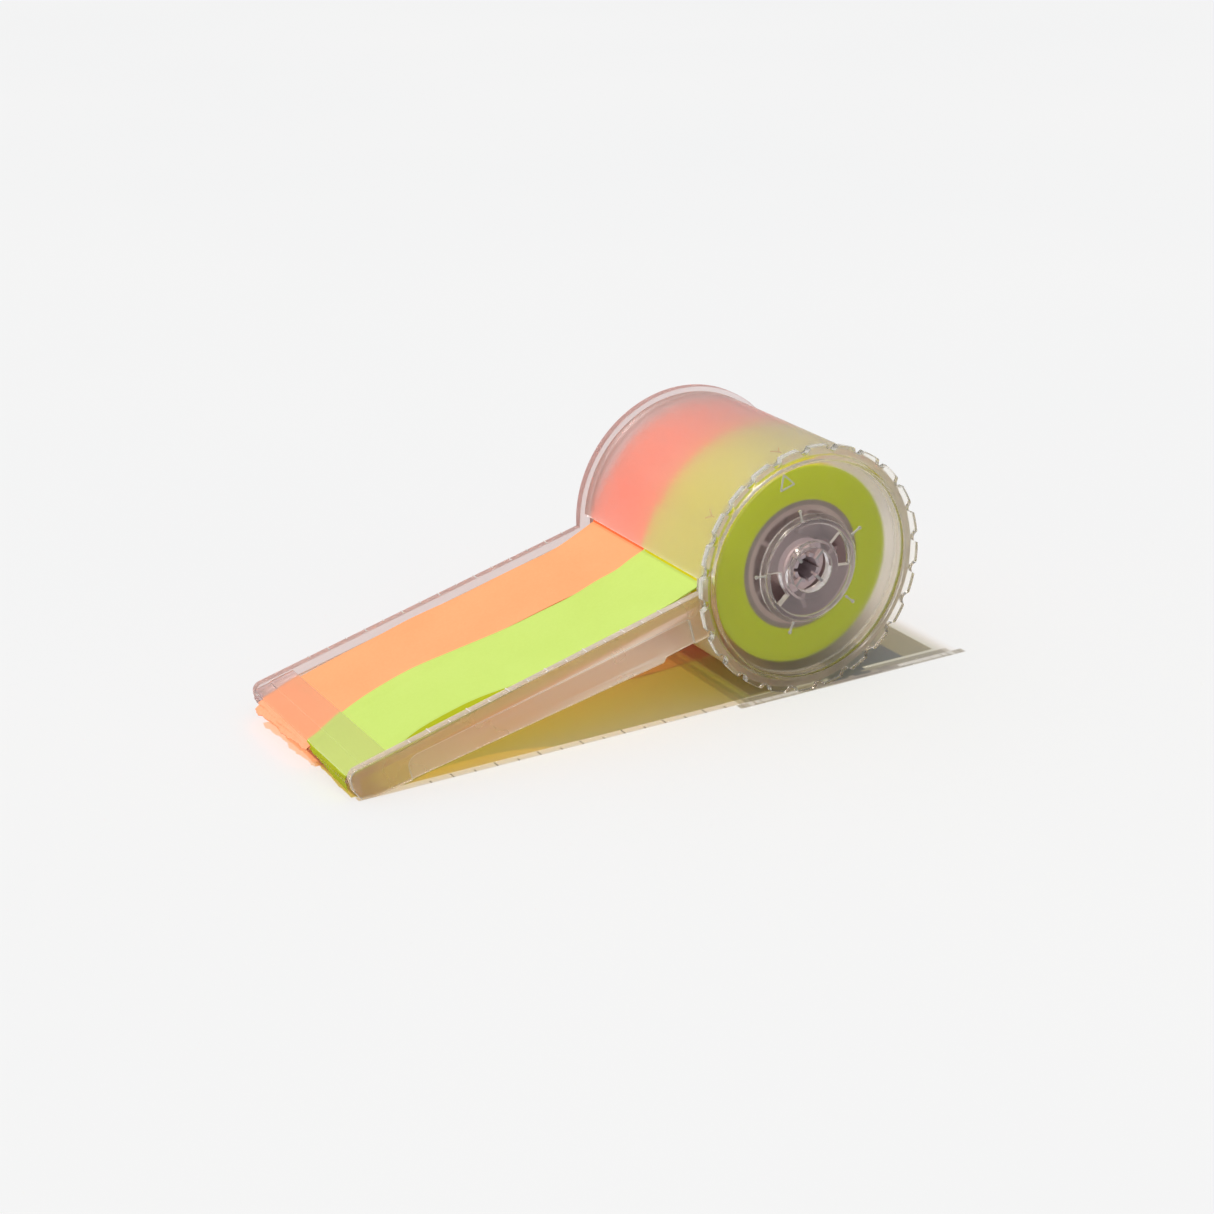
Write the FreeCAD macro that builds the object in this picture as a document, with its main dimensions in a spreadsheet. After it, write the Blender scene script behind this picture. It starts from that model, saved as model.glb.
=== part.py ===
"""Two-reel note-tape dispenser: a drum case with a ruled arm, a grip cap and two free-turning reels.

Frame: +Z up, the arm points along -X, the reels turn about Y, and the origin is the middle of the
footprint on the table. Drum pieces are drawn about the drum axis, and arm pieces are drawn in the
arm's own frame: X along the arm from scale zero towards the drum, Z up from the rail tops.
"""
import FreeCAD, Part
import math
import os

import Sketcher

# A text value is a formula: that size follows from the others.
SIZES = {
    # drum case
    "tape_width": 25.0,
    "reel_gap": 0.3,
    "side_room": 6.3,
    "case_width": "=2 * tape_width + reel_gap + side_room",
    "plate_radius": 30.0,
    "plate_thick": 2.1,
    "shell_step": 1.2,
    "shell_radius": "=plate_radius - shell_step",
    "shell_wall": 1.5,
    "ring_length": 0.9,
    "ring_wall": 1.2,
    "ring_clearance": 0.1,
    "lip_angle": 175.0,
    "slot_angle": 10.4,
    # arm
    "zero_reach": 106.8,
    "zero_height": 9.4,
    "meet_share": 0.957,
    "arm_slope": "=atan((plate_radius - zero_height) / (zero_reach - shell_radius * meet_share)) / 1 deg",
    "wall_thick": 2.1,
    "wall_depth_front": 8.6,
    "wall_depth_back": 12.1,
    "wall_step": 1.0,
    "step_place": 67.6,
    "panel_depth": 0.7,
    "panel_front": 2.4,
    "panel_back": 76.0,
    "panel_top_front": 3.2,
    "panel_top_back": 4.6,
    "bed_drop": 2.0,
    "bed_thick": 1.3,
    "lip_thick": 1.2,
    "nose_clearance": 0.6,
    # front bar
    "bar_length": 10.3,
    "bar_drop": 0.3,
    "bar_thick": 1.1,
    "bar_rise": 0.25,
    "bar_step": 6.1,
    "cheek_round": 2.4,
    "cheek_share": 0.55,
    "foot_set_back": 1.2,
    "foot_length": 3.2,
    # tear comb
    "comb_reach": 0.6,
    "comb_thick": 0.5,
    "tooth_pitch": 1.3,
    "tooth_depth": 0.8,
    "comb_drop": 0.35,
    # scale
    "tick_pitch": 5.0,
    "tick_width": 0.28,
    "tick_height": 0.12,
    "tick_short": 1.1,
    # spindle
    "spindle_radius": 5.0,
    "spindle_bore": 3.6,
    "spindle_end_gap": 1.45,
    "flange_radius": 9.0,
    "flange_thick": 1.0,
    # reels
    "reel_side_gap": 0.1,
    "tape_thick": 0.3,
    "roll_room": 3.1,
    "roll_radius": "=shell_radius - shell_wall - roll_room",
    "core_radius": 16.0,
    "core_wall": 1.2,
    "rim_radius": "=core_radius - core_wall",
    "rim_wall": 1.3,
    "sleeve_wall": 1.5,
    "web_thick": 1.4,
    "reel_clearance": 0.05,
    "rib_thick": 1.0,
    "rib_length": 8.0,
    # tape ends
    "orange_end": 13.6,
    "yellow_end": 12.6,
    "end_droop": 0.5,
    "tape_gap": 0.06,
    "sag_place": 60.0,
    "sag_drop": 0.4,
    "tape_slot_angle": 3.0,
    "tape_slot_turn": 0.6,
    "roll_gap": 0.3,
    # cap
    "cap_step": 0.2,
    "cap_radius": "=plate_radius - cap_step",
    "cap_proud": 2.4,
    "cap_gap": 0.2,
    "face_thick": 1.4,
    "ring_band": 3.5,
    "face_radius": "=cap_radius - ring_band",
    "skirt_length": 2.2,
    "skirt_wall": 1.2,
    "skirt_clearance": 0.25,
    "notch_radius": 1.3,
    "notch_depth": 1.0,
    "cut_room": 0.05,
    "spoke_length": 2.6,
    "spoke_width": 0.5,
    "spoke_height": 0.4,
    "spoke_gap": 0.4,
    "mark_inset": 0.3,
    "mark_tip": "=face_radius - mark_inset",
    "mark_length": 3.1,
    "mark_half": 1.8,
    "mark_base_line": 0.35,
    "mark_tip_line": 0.77,
    "mark_side_line": 0.6,
    "mark_height": 0.3,
    # cap hub
    "hub_radius": 12.2,
    "hub_clearance": 0.05,
    "hub_lap": 1.1,
    "hub_flange": "=hub_radius + hub_lap",
    "hub_flange_thick": 0.7,
    "hub_flange_gap": 0.1,
    "boss_radius": 6.7,
    "boss_bore": 5.3,
    "boss_rise": 0.5,
    "window_inner": 7.6,
    "window_rim": 0.9,
    "window_outer": "=hub_radius - window_rim",
    "window_angle": 47.0,
    "window_start": -5.0,
    "leg_length": 8.5,
    "leg_wall": 0.9,
    "leg_clearance": 0.05,
    "leg_slot": 0.9,
    "leg_root": 1.6,
    "fin_thick": 0.7,
    "weld": 0.1,
    "overcut": 1.0,
    "arm_wall_end": 20.0,
    "bed_end": 12.0,
    "slot_reach": "=shell_radius * 1.2",
    "well_below": "=wall_depth_back * 2",
}
NOTCHES = 24
SPOKES = 5
SPOKE_START = 31.0
MARK_ANGLE = 109.0
HUB_RIBS = 5
HUB_FINS = 4
FIN_START = 45.0
SAME_PLACE = 1e-3
FULL_TURN = 360.0

doc = FreeCAD.newDocument("tape_dispenser")
sheet = doc.addObject("Spreadsheet::Sheet", "Sizes")
nodes = []


def fill_sheet():
    """One row per size: its name, then its value under an alias."""
    for row, name in enumerate(SIZES, start=1):
        sheet.set(f"A{row}", name)
        sheet.set(f"B{row}", "0")
        sheet.setAlias(f"B{row}", name)
    for row, value in enumerate(SIZES.values(), start=1):
        sheet.set(f"B{row}", str(value))
    doc.recompute()


def sized(text):
    """An expression in which each size's name points at its cell."""
    for name in sorted(SIZES, key=len, reverse=True):
        text = text.replace(f"@{name}", f"Sizes.{name}")
    return text


# ---- places shared by several pieces, as expressions ----
HALF = "@case_width / 2"
MIDDLE_Y = "@cap_proud / 2"
AXIS_DROP = "(@plate_radius - @zero_height)"
TAPE_TOP = "(@bar_drop + @bar_thick + @tape_gap)"
TAIL_H = f"({TAPE_TOP} + @tape_thick + @end_droop)"
TIP_REACH = f"(@zero_reach + @orange_end * cos(@arm_slope * 1 deg) - {TAIL_H} * sin(@arm_slope * 1 deg))"
AXIS_X = f"({TIP_REACH} - @plate_radius) / 2"
SHELL_BORE = "(@shell_radius - @shell_wall)"
CAP_BACK = f"(-{HALF} - @cap_gap)"
CAP_FRONT = f"(-{HALF} - @cap_proud)"
FACE_FRONT = f"({CAP_BACK} - @face_thick)"
REEL_NEAR = "(-@tape_width - @reel_gap / 2)"
REEL_STEP = "(@tape_width + @reel_gap)"
HUB_BACK = f"({CAP_BACK} + @hub_flange_gap + @hub_flange_thick)"


def cos_of(angle):
    return f"cos(({angle}) * 1 deg)"


def sin_of(angle):
    return f"sin(({angle}) * 1 deg)"


def drum_xz(s, h):
    """Arm point (s along the arm, h above the rail tops) as X and Z about the drum axis."""
    x = f"-@zero_reach + ({s}) * {cos_of('@arm_slope')} - ({h}) * {sin_of('@arm_slope')}"
    z = f"-{AXIS_DROP} + ({s}) * {sin_of('@arm_slope')} + ({h}) * {cos_of('@arm_slope')}"
    return x, z


def arm_sh(x, z):
    """Point about the drum axis as the arm's own s and h."""
    across, rise = f"(({x}) + @zero_reach)", f"(({z}) + {AXIS_DROP})"
    s = f"{across} * {cos_of('@arm_slope')} + {rise} * {sin_of('@arm_slope')}"
    h = f"-{across} * {sin_of('@arm_slope')} + {rise} * {cos_of('@arm_slope')}"
    return s, h


# ---- small drawing helpers ----
def new_body(label, frame):
    """An empty body placed in the drum frame or in the sloping arm frame."""
    body = doc.addObject("PartDesign::Body", label)
    body.Label = label
    place(body, frame)
    nodes.append(body)
    return body


def place(obj, frame):
    obj.setExpression("Placement.Base.y", sized(MIDDLE_Y))
    if frame == "drum":
        obj.setExpression("Placement.Base.x", sized(AXIS_X))
        obj.setExpression("Placement.Base.z", sized("@plate_radius"))
        return
    obj.Placement.Rotation = FreeCAD.Rotation(FreeCAD.Vector(0, -1, 0), value_of("@arm_slope"))
    obj.setExpression("Placement.Base.x", sized(f"{AXIS_X} - @zero_reach"))
    obj.setExpression("Placement.Base.z", sized("@zero_height"))
    obj.setExpression("Placement.Rotation.Angle", sized("@arm_slope * 1 deg"))


def new_sketch(body, role, offset="0", turn="0"):
    """A sketch on one of the body's origin planes, moved along its normal and turned about its V axis."""
    plane = next(f for f in body.Origin.OriginFeatures if f.Role == role)
    sketch = body.newObject("Sketcher::SketchObject", f"{body.Name}_sketch")
    sketch.AttachmentSupport = [(plane, "")]
    sketch.MapMode = "FlatFace"
    sketch.AttachmentOffset.Rotation = FreeCAD.Rotation(FreeCAD.Vector(0, 1, 0), 1.0)
    sketch.setExpression("AttachmentOffset.Base.z", sized(offset))
    sketch.setExpression("AttachmentOffset.Rotation.Angle", sized(f"({turn}) * 1 deg"))
    return sketch


def draw_outline(sketch, points):
    """A closed polygon whose corners are held at the given expressions."""
    first = sketch.GeometryCount
    guesses = [FreeCAD.Vector(value_of(x), value_of(y), 0) for x, y in points]
    count = len(points)
    for i in range(count):
        sketch.addGeometry(Part.LineSegment(guesses[i], guesses[(i + 1) % count]), False)
    for i in range(count):
        sketch.addConstraint(Sketcher.Constraint("Coincident", first + i, 2, first + (i + 1) % count, 1))
    for i, (x, y) in enumerate(points):
        hold(sketch, Sketcher.Constraint("DistanceX", -1, 1, first + i, 1, guesses[i].x), x)
        hold(sketch, Sketcher.Constraint("DistanceY", -1, 1, first + i, 1, guesses[i].y), y)


def draw_circle(sketch, x, y, radius):
    guess = FreeCAD.Vector(value_of(x), value_of(y), 0)
    circle = Part.Circle(guess, FreeCAD.Vector(0, 0, 1), value_of(radius))
    geo = sketch.addGeometry(circle, False)
    hold(sketch, Sketcher.Constraint("DistanceX", -1, 1, geo, 3, guess.x), x)
    hold(sketch, Sketcher.Constraint("DistanceY", -1, 1, geo, 3, guess.y), y)
    hold(sketch, Sketcher.Constraint("Radius", geo, value_of(radius)), radius)


def hold(sketch, constraint, expression):
    index = sketch.addConstraint(constraint)
    sketch.setExpression(f"Constraints[{index}]", sized(expression))


def value_of(expression):
    """The number that an expression stands for now, as a starting guess for the solver."""
    result = sheet.evalExpression(sized(expression))
    return float(getattr(result, "Value", result))


def pad(body, sketch, length):
    feature = body.newObject("PartDesign::Pad", f"{body.Name}_pad")
    feature.Profile = sketch
    feature.setExpression("Length", sized(length))
    body.Tip = feature
    return feature


def pocket(body, sketch, length, along_normal=True):
    """Cuts from the sketch the way its normal points, which is -Y in the XZ plane, or against it."""
    feature = body.newObject("PartDesign::Pocket", f"{body.Name}_pocket")
    feature.Profile = sketch
    feature.Reversed = along_normal
    feature.setExpression("Length", sized(length))
    body.Tip = feature
    return feature


def revolve(body, sketch, kind="Revolution", angle=None):
    feature = body.newObject(f"PartDesign::{kind}", f"{body.Name}_{kind.lower()}")
    feature.Profile = sketch
    feature.ReferenceAxis = (sketch, ["V_Axis"])
    feature.Angle = FULL_TURN
    if angle:
        feature.setExpression("Angle", sized(angle))
    body.Tip = feature
    return feature


def repeat_round(body, features, count):
    """Repeats features round the body's Y axis."""
    axis = next(f for f in body.Origin.OriginFeatures if f.Role == "Y_Axis")
    pattern = body.newObject("PartDesign::PolarPattern", f"{body.Name}_round")
    pattern.Originals = features
    pattern.Axis = (axis, [""])
    pattern.Angle = FULL_TURN
    pattern.Occurrences = count
    body.Tip = pattern
    return pattern


def repeat_along(body, features, role, count, pitch):
    """Repeats features in a row, with the pitch from one to the next."""
    axis = next(f for f in body.Origin.OriginFeatures if f.Role == role)
    pattern = body.newObject("PartDesign::LinearPattern", f"{body.Name}_row")
    pattern.Originals = features
    pattern.Direction = (axis, [""])
    pattern.Occurrences = count
    pattern.setExpression("Length", sized(f"{pitch} * {count - 1}"))
    body.Tip = pattern
    return pattern


def turned(label, points):
    """A piece turned about the drum axis from corners (radius, Y)."""
    body = new_body(label, "drum")
    sketch = new_sketch(body, "XY_Plane")
    draw_outline(sketch, points)
    revolve(body, sketch)
    return body


def plate(body, points, top, thickness):
    """Pads an outline in the XZ plane from Y = top towards the near side."""
    sketch = new_sketch(body, "XZ_Plane", offset=f"-({top})")
    draw_outline(sketch, points)
    return pad(body, sketch, thickness)


def box_points(low_r, high_r, low_y, high_y):
    return [(low_r, low_y), (high_r, low_y), (high_r, high_y), (low_r, high_y)]


def round_edges(body, radius, wanted):
    """Fillets the edges parallel to Y whose (X, Z) in the body's own frame is one of the wanted places."""
    doc.recompute()
    base = body.Tip
    names = []
    places = [(value_of(x), value_of(z)) for x, z in wanted]
    for index, edge in enumerate(base.Shape.Edges, start=1):
        start, end = edge.Vertexes[0].Point, edge.Vertexes[-1].Point
        if math.hypot(start.x - end.x, start.z - end.z) > SAME_PLACE:
            continue
        if any(math.hypot(start.x - x, start.z - z) < SAME_PLACE for x, z in places):
            names.append(f"Edge{index}")
    fillet = body.newObject("PartDesign::Fillet", f"{body.Name}_fillet")
    fillet.Base = (base, names)
    fillet.setExpression("Radius", sized(radius))
    body.Tip = fillet
    return fillet


# ---- the case ----
def shell_end_cut(body):
    """Cuts an arm piece back to the outside of the drum shell."""
    s, h = arm_sh("0", "0")
    sketch = new_sketch(body, "XZ_Plane", offset=f"-{HALF}")
    draw_circle(sketch, s, h, "@shell_radius")
    return pocket(body, sketch, "@case_width")


def wall_outline():
    """Corners (s, h) of an arm wall, from the front bar to inside the drum; the lower edge steps up near it."""
    back = arm_sh(f"-@shell_radius * {cos_of('@arm_wall_end')}", "0")[0]
    deep = "-@wall_depth_back"
    shallow = "-(@wall_depth_back - @wall_step)"
    return [
        ("0", "0"),
        ("0", "-@wall_depth_front"),
        ("@step_place", deep),
        ("@step_place + @wall_step", shallow),
        (back, shallow),
        (back, "0"),
    ]


def make_drum_shell():
    """The tube round the reels, with the slot that the tapes leave by."""
    body = turned("drum_shell", box_points(SHELL_BORE, "@shell_radius", f"-{HALF}", f"{HALF} - @plate_thick"))
    near, far = "@lip_angle", "(@lip_angle + @slot_angle)"
    wedge = [("0", "0")] + [(f"@slot_reach * {cos_of(a)}", f"@slot_reach * {sin_of(a)}") for a in (near, far)]
    sketch = new_sketch(body, "XZ_Plane", offset=f"-({HALF} - @wall_thick)")
    draw_outline(sketch, wedge)
    pocket(body, sketch, "@case_width - 2 * @wall_thick")


def make_far_side_plate():
    """The far disc and its arm wall as one plate, with a ring that locates the shell."""
    body = new_body("far_side_plate", "drum")
    disc = new_sketch(body, "XZ_Plane", offset=f"-{HALF}")
    draw_circle(disc, "0", "0", "@plate_radius")
    pad(body, disc, "@plate_thick")
    plate(body, [drum_xz(s, h) for s, h in wall_outline()], HALF, "@plate_thick")
    ring = new_sketch(body, "XZ_Plane", offset=f"-({HALF} - @plate_thick)")
    draw_circle(ring, "0", "0", f"{SHELL_BORE} - @ring_clearance")
    draw_circle(ring, "0", "0", f"{SHELL_BORE} - @ring_clearance - @ring_wall")
    pad(body, ring, "@ring_length")


def make_near_arm_wall():
    """The near side of the arm, with a shallow panel sunk into its outer face."""
    body = new_body("near_arm_wall", "arm")
    plate(body, wall_outline(), f"-{HALF} + @wall_thick", "@wall_thick")
    shell_end_cut(body)
    panel = [
        ("@panel_front", "-@panel_top_front"),
        ("@panel_front", "-@well_below"),
        ("@panel_back", "-@well_below"),
        ("@panel_back", "-@panel_top_back"),
    ]
    sketch = new_sketch(body, "XZ_Plane", offset=f"-(-{HALF} + @panel_depth)")
    draw_outline(sketch, panel)
    pocket(body, sketch, "@panel_depth")


def make_arm_bed():
    """The floor of the tape channel, turned down at the front to make the arm's nose."""
    body = new_body("arm_bed", "arm")
    nose = "-(@bar_length - @lip_thick)"
    top, under = "-@bed_drop", "-(@bed_drop + @bed_thick)"
    foot = f"-((@zero_height - (@bar_length - @lip_thick) * {sin_of('@arm_slope')}) / {cos_of('@arm_slope')} - @nose_clearance)"
    back = arm_sh(f"-@shell_radius * {cos_of('@bed_end')}", "0")[0]
    points = [
        (nose, top),
        (nose, foot),
        (f"{nose} + @lip_thick", foot),
        (f"{nose} + @lip_thick", under),
        (back, under),
        (back, top),
    ]
    plate(body, points, f"{HALF} - @wall_thick", "@case_width - 2 * @wall_thick")
    shell_end_cut(body)


def cheek_outline():
    """Corners (s, h) of a cheek of the front bar, with a flat foot on the table."""
    back_foot = "-(@bar_length - @foot_set_back - @foot_length)"
    front_foot = "-(@bar_length - @foot_set_back)"

    def table(s):
        return f"-(@zero_height + ({s}) * {sin_of('@arm_slope')}) / {cos_of('@arm_slope')}"

    return [
        ("0", "0"),
        ("-@bar_length", "0"),
        ("-@bar_length", "-@wall_depth_front * @cheek_share"),
        (front_foot, table(front_foot)),
        (back_foot, table(back_foot)),
        ("0", "-@wall_depth_front"),
    ]


def make_front_bar():
    """The clear bar across the arm's tip that holds the tapes down, with a cheek on each side."""
    body = new_body("front_bar", "arm")
    plate(body, cheek_outline(), HALF, "@case_width")
    round_edges(body, "@cheek_round", [("-@bar_length", "0")])
    inside, between = f"{HALF} - @wall_thick", "@case_width - 2 * @wall_thick"
    front, under = "-(@bar_length + @overcut)", "-(@bar_drop + @bar_thick)"
    low_step = "-(@bar_drop + @bar_rise)"
    above = [
        ("@overcut", "-@bar_drop"),
        ("@overcut", "@overcut"),
        (front, "@overcut"),
        (front, low_step),
        ("-@bar_step", low_step),
        ("-@bar_step", "-@bar_drop"),
    ]
    below = box_points(front, "@overcut", "-@well_below", under)
    for outline in (above, below):
        sketch = new_sketch(body, "XZ_Plane", offset=f"-({inside})")
        draw_outline(sketch, outline)
        pocket(body, sketch, between)


def make_tear_comb():
    """The toothed edge under the tape ends that the tapes are torn on."""
    body = new_body("tear_comb", "arm")
    root = "-(@bar_length - @lip_thick)"
    tip = "-(@bar_length + @comb_reach)"
    top = "-(@bed_drop + @comb_drop)"
    strip = [(root, top), (root, f"{top} - @comb_thick"), (tip, f"{top} - @comb_thick"), (tip, top)]
    plate(body, strip, f"{HALF} - @wall_thick", "@case_width - 2 * @wall_thick")
    start = f"-({HALF} - @wall_thick)"
    gap = [
        (f"{tip} - @tooth_depth", f"{start} - @tooth_pitch / 2"),
        (f"{tip} - @tooth_depth", f"{start} + @tooth_pitch * 1.5"),
        (f"{tip} + @tooth_depth", f"{start} + @tooth_pitch / 2"),
    ]
    sketch = new_sketch(body, "XY_Plane", offset=top)
    draw_outline(sketch, gap)
    cut = pocket(body, sketch, "@comb_thick * 2", along_normal=False)
    count = int(value_of("(@case_width - 2 * @wall_thick) / @tooth_pitch"))
    repeat_along(body, [cut], "Y_Axis", count, "@tooth_pitch")


def make_scale(label, side):
    """Raised ticks across a rail top from its outer edge, every other one short."""
    body = new_body(label, "arm")
    body.AllowCompound = True
    axis_s, axis_h = arm_sh("0", "0")
    ticks = int(value_of(f"({axis_s} - sqrt(@plate_radius ^ 2 - ({axis_h}) ^ 2)) / @tick_pitch"))
    for first, width, count in ((1, "@tick_short", (ticks + 1) // 2), (2, "@wall_thick", ticks // 2)):
        s = f"@tick_pitch * {first}"
        outer = f"{side} * {HALF}"
        inner = f"{outer} - {side} * {width}"
        low, high = (inner, outer) if side > 0 else (outer, inner)
        sketch = new_sketch(body, "XY_Plane")
        draw_outline(sketch, box_points(f"{s} - @tick_width / 2", f"{s} + @tick_width / 2", low, high))
        tick = pad(body, sketch, "@tick_height")
        repeat_along(body, [tick], "X_Axis", count, "@tick_pitch * 2")


# ---- reels and tapes ----
def make_spindle():
    """The hollow post that both reels turn on, standing on a flange inside the far plate."""
    near, far = f"(@spindle_end_gap - {HALF})", f"({HALF} - @plate_thick)"
    turned("spindle", [
        ("@spindle_bore", near),
        ("@spindle_radius", near),
        ("@spindle_radius", f"{far} - @flange_thick"),
        ("@flange_radius", f"{far} - @flange_thick"),
        ("@flange_radius", far),
        ("@spindle_bore", far),
    ])


def make_reel(colour, near):
    """A moulded bush, the card core pressed on it and the tape wound on the core."""
    far = f"({near} + @tape_width)"
    low, high = f"({near} + @reel_side_gap)", f"({far} - @reel_side_gap)"
    middle = f"({near} + @tape_width / 2)"
    bore = "(@spindle_radius + @reel_clearance)"
    sleeve, rim = f"({bore} + @sleeve_wall)", "(@rim_radius - @rim_wall)"
    bush = turned(f"{colour}_reel_bush", [
        (bore, low),
        (sleeve, low),
        (sleeve, f"{middle} - @web_thick / 2"),
        (rim, f"{middle} - @web_thick / 2"),
        (rim, low),
        ("@rim_radius", low),
        ("@rim_radius", high),
        (rim, high),
        (rim, f"{middle} + @web_thick / 2"),
        (sleeve, f"{middle} + @web_thick / 2"),
        (sleeve, high),
        (bore, high),
    ])
    sketch = new_sketch(bush, "XZ_Plane", offset=f"-({middle} + @rib_length)")
    inner, outer = f"({bore} + @sleeve_wall / 2)", "(@rim_radius - @rim_wall / 2)"
    draw_outline(sketch, box_points(inner, outer, "-@rib_thick / 2", "@rib_thick / 2"))
    rib = pad(bush, sketch, "@rib_length * 2")
    repeat_round(bush, [rib], HUB_RIBS)
    turned(f"{colour}_roll_core", box_points("@rim_radius", "@core_radius", low, high))
    turned(f"{colour}_tape_roll", box_points("@core_radius", "@roll_radius", near, far))


def make_tape_tail(colour, near, end):
    """The loose end of a tape: off its roll, under the slot's lip, along the arm and under the bar."""
    body = new_body(f"{colour}_tape_tail", "drum")
    through = "(@lip_angle + @tape_slot_angle)"
    turned_down = f"({through} + @tape_slot_turn)"
    inside = f"({SHELL_BORE} - @tape_thick)"
    leave = f"({through} * 1 deg - acos((@roll_radius + @roll_gap) / {inside}))"
    upper = [
        drum_xz(f"-{end}", f"-({TAPE_TOP} + @end_droop)"),
        drum_xz("-@bar_length", f"-{TAPE_TOP}"),
        drum_xz("0", f"-{TAPE_TOP}"),
        drum_xz("@sag_place", "-@sag_drop"),
        (f"{SHELL_BORE} * {cos_of(through)}", f"{SHELL_BORE} * {sin_of(through)}"),
        tuple(f"(@roll_radius + @roll_gap + @tape_thick) * {f}({leave})" for f in ("cos", "sin")),
    ]
    lower = [
        tuple(f"(@roll_radius + @roll_gap) * {f}({leave})" for f in ("cos", "sin")),
        (f"{inside} * {cos_of(turned_down)}", f"{inside} * {sin_of(turned_down)}"),
        drum_xz("@sag_place", "-(@sag_drop + @tape_thick)"),
        drum_xz("0", f"-({TAPE_TOP} + @tape_thick)"),
        drum_xz("-@bar_length", f"-({TAPE_TOP} + @tape_thick)"),
        drum_xz(f"-{end}", f"-{TAIL_H}"),
    ]
    plate(body, upper + lower, f"({near} + @tape_width)", "@tape_width")


# ---- the cap ----
def ray_box(low_r, high_r, width, angle):
    """Corners of a bar that runs out along a ray at an angle in the XZ plane."""
    c, s = cos_of(angle), sin_of(angle)
    corners = [(low_r, f"-{width} / 2"), (high_r, f"-{width} / 2"), (high_r, f"{width} / 2"), (low_r, f"{width} / 2")]
    return [(f"({r}) * {c} - ({side}) * {s}", f"({r}) * {s} + ({side}) * {c}") for r, side in corners]


def make_side_cap():
    """The notched cap that closes the drum, with an inner skirt, small spokes and a plain arrow mark."""
    bore = "(@hub_radius + @hub_clearance)"
    skirt_out = f"({SHELL_BORE} - @skirt_clearance)"
    skirt_in = f"({skirt_out} - @skirt_wall)"
    skirt_end = f"({CAP_BACK} + @skirt_length)"
    body = turned("side_cap", [
        (bore, CAP_BACK),
        (skirt_in, CAP_BACK),
        (skirt_in, skirt_end),
        (skirt_out, skirt_end),
        (skirt_out, CAP_BACK),
        ("@cap_radius", CAP_BACK),
        ("@cap_radius", CAP_FRONT),
        ("@face_radius", CAP_FRONT),
        ("@face_radius", FACE_FRONT),
        (bore, FACE_FRONT),
    ])
    notch = new_sketch(body, "XZ_Plane", offset=f"-({CAP_BACK} + @cut_room)")
    draw_circle(notch, "@cap_radius + @notch_radius - @notch_depth", "0", "@notch_radius")
    cut = pocket(body, notch, "@cap_proud * 2")
    repeat_round(body, [cut], NOTCHES)
    spoke = new_sketch(body, "XZ_Plane", offset=f"-{FACE_FRONT}")
    inner = f"({bore} + @spoke_gap)"
    draw_outline(spoke, ray_box(inner, f"{inner} + @spoke_length", "@spoke_width", SPOKE_START))
    rib = pad(body, spoke, "@spoke_height")
    repeat_round(body, [rib], SPOKES)
    mark = new_sketch(body, "XZ_Plane", offset=f"-{FACE_FRONT}")
    base = "(@mark_tip - @mark_length)"
    draw_outline(mark, arrow("@mark_tip", base, "@mark_half"))
    draw_outline(mark, arrow("@mark_tip - @mark_tip_line", f"{base} + @mark_base_line", "@mark_half - @mark_side_line"))
    pad(body, mark, "@mark_height")


def arrow(tip, base, half):
    """A triangle that points outwards at the mark's angle."""
    c, s = cos_of(MARK_ANGLE), sin_of(MARK_ANGLE)
    corners = [(tip, "0"), (base, half), (base, f"-({half})")]
    return [(f"({r}) * {c} - ({side}) * {s}", f"({r}) * {s} + ({side}) * {c}") for r, side in corners]


def make_cap_hub():
    """The plug that the cap turns on: a disc with two windows, and four legs that grip inside the spindle."""
    body = turned("cap_hub", [
        ("@boss_bore", HUB_BACK),
        ("@hub_flange", HUB_BACK),
        ("@hub_flange", f"{CAP_BACK} + @hub_flange_gap"),
        ("@hub_radius", f"{CAP_BACK} + @hub_flange_gap"),
        ("@hub_radius", FACE_FRONT),
        ("@boss_radius", FACE_FRONT),
        ("@boss_radius", f"{FACE_FRONT} - @boss_rise"),
        ("@boss_bore", f"{FACE_FRONT} - @boss_rise"),
    ])
    window = new_sketch(body, "XY_Plane", turn="-@window_start")
    draw_outline(window, box_points("@window_inner", "@window_outer", f"{FACE_FRONT} - @overcut", f"{HUB_BACK} + @overcut"))
    groove = revolve(body, window, "Groove", "@window_angle * 1 deg")
    groove.Reversed = True
    repeat_round(body, [groove], 2)
    fin = new_sketch(body, "XZ_Plane", offset=f"-{HUB_BACK}")
    leg_out = "(@spindle_bore - @leg_clearance)"
    leg_in = f"({leg_out} - @leg_wall)"
    draw_outline(fin, ray_box(f"({leg_in} + @weld)", "@boss_bore + @weld", "@fin_thick", f"{FIN_START}"))
    web = pad(body, fin, "@face_thick + @hub_flange_thick / 2")
    repeat_round(body, [web], HUB_FINS)
    sleeve = new_sketch(body, "XY_Plane")
    sleeve_front = f"({HUB_BACK} - @face_thick)"
    draw_outline(sleeve, box_points(leg_in, leg_out, sleeve_front, f"{sleeve_front} + @leg_length"))
    revolve(body, sleeve)
    slot = new_sketch(body, "XZ_Plane", offset=f"-({sleeve_front} + @leg_length + @overcut)")
    draw_outline(slot, ray_box("0", f"{leg_out} + @weld", "@leg_slot", "0"))
    cut = pocket(body, slot, "@leg_length + @overcut - @leg_root")
    repeat_round(body, [cut], HUB_FINS)


def check_document():
    """Stops if any feature failed, or a piece has no valid solid."""
    doc.recompute()
    for obj in doc.Objects:
        bad = [word for word in ("Invalid", "Error") if word in obj.State]
        if bad:
            raise RuntimeError(f"{obj.Label}: {bad}")
    for body in nodes:
        if body.Shape.isNull() or not body.Shape.isValid() or not body.Shape.Solids:
            raise RuntimeError(f"{body.Label} has no valid solid")


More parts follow.
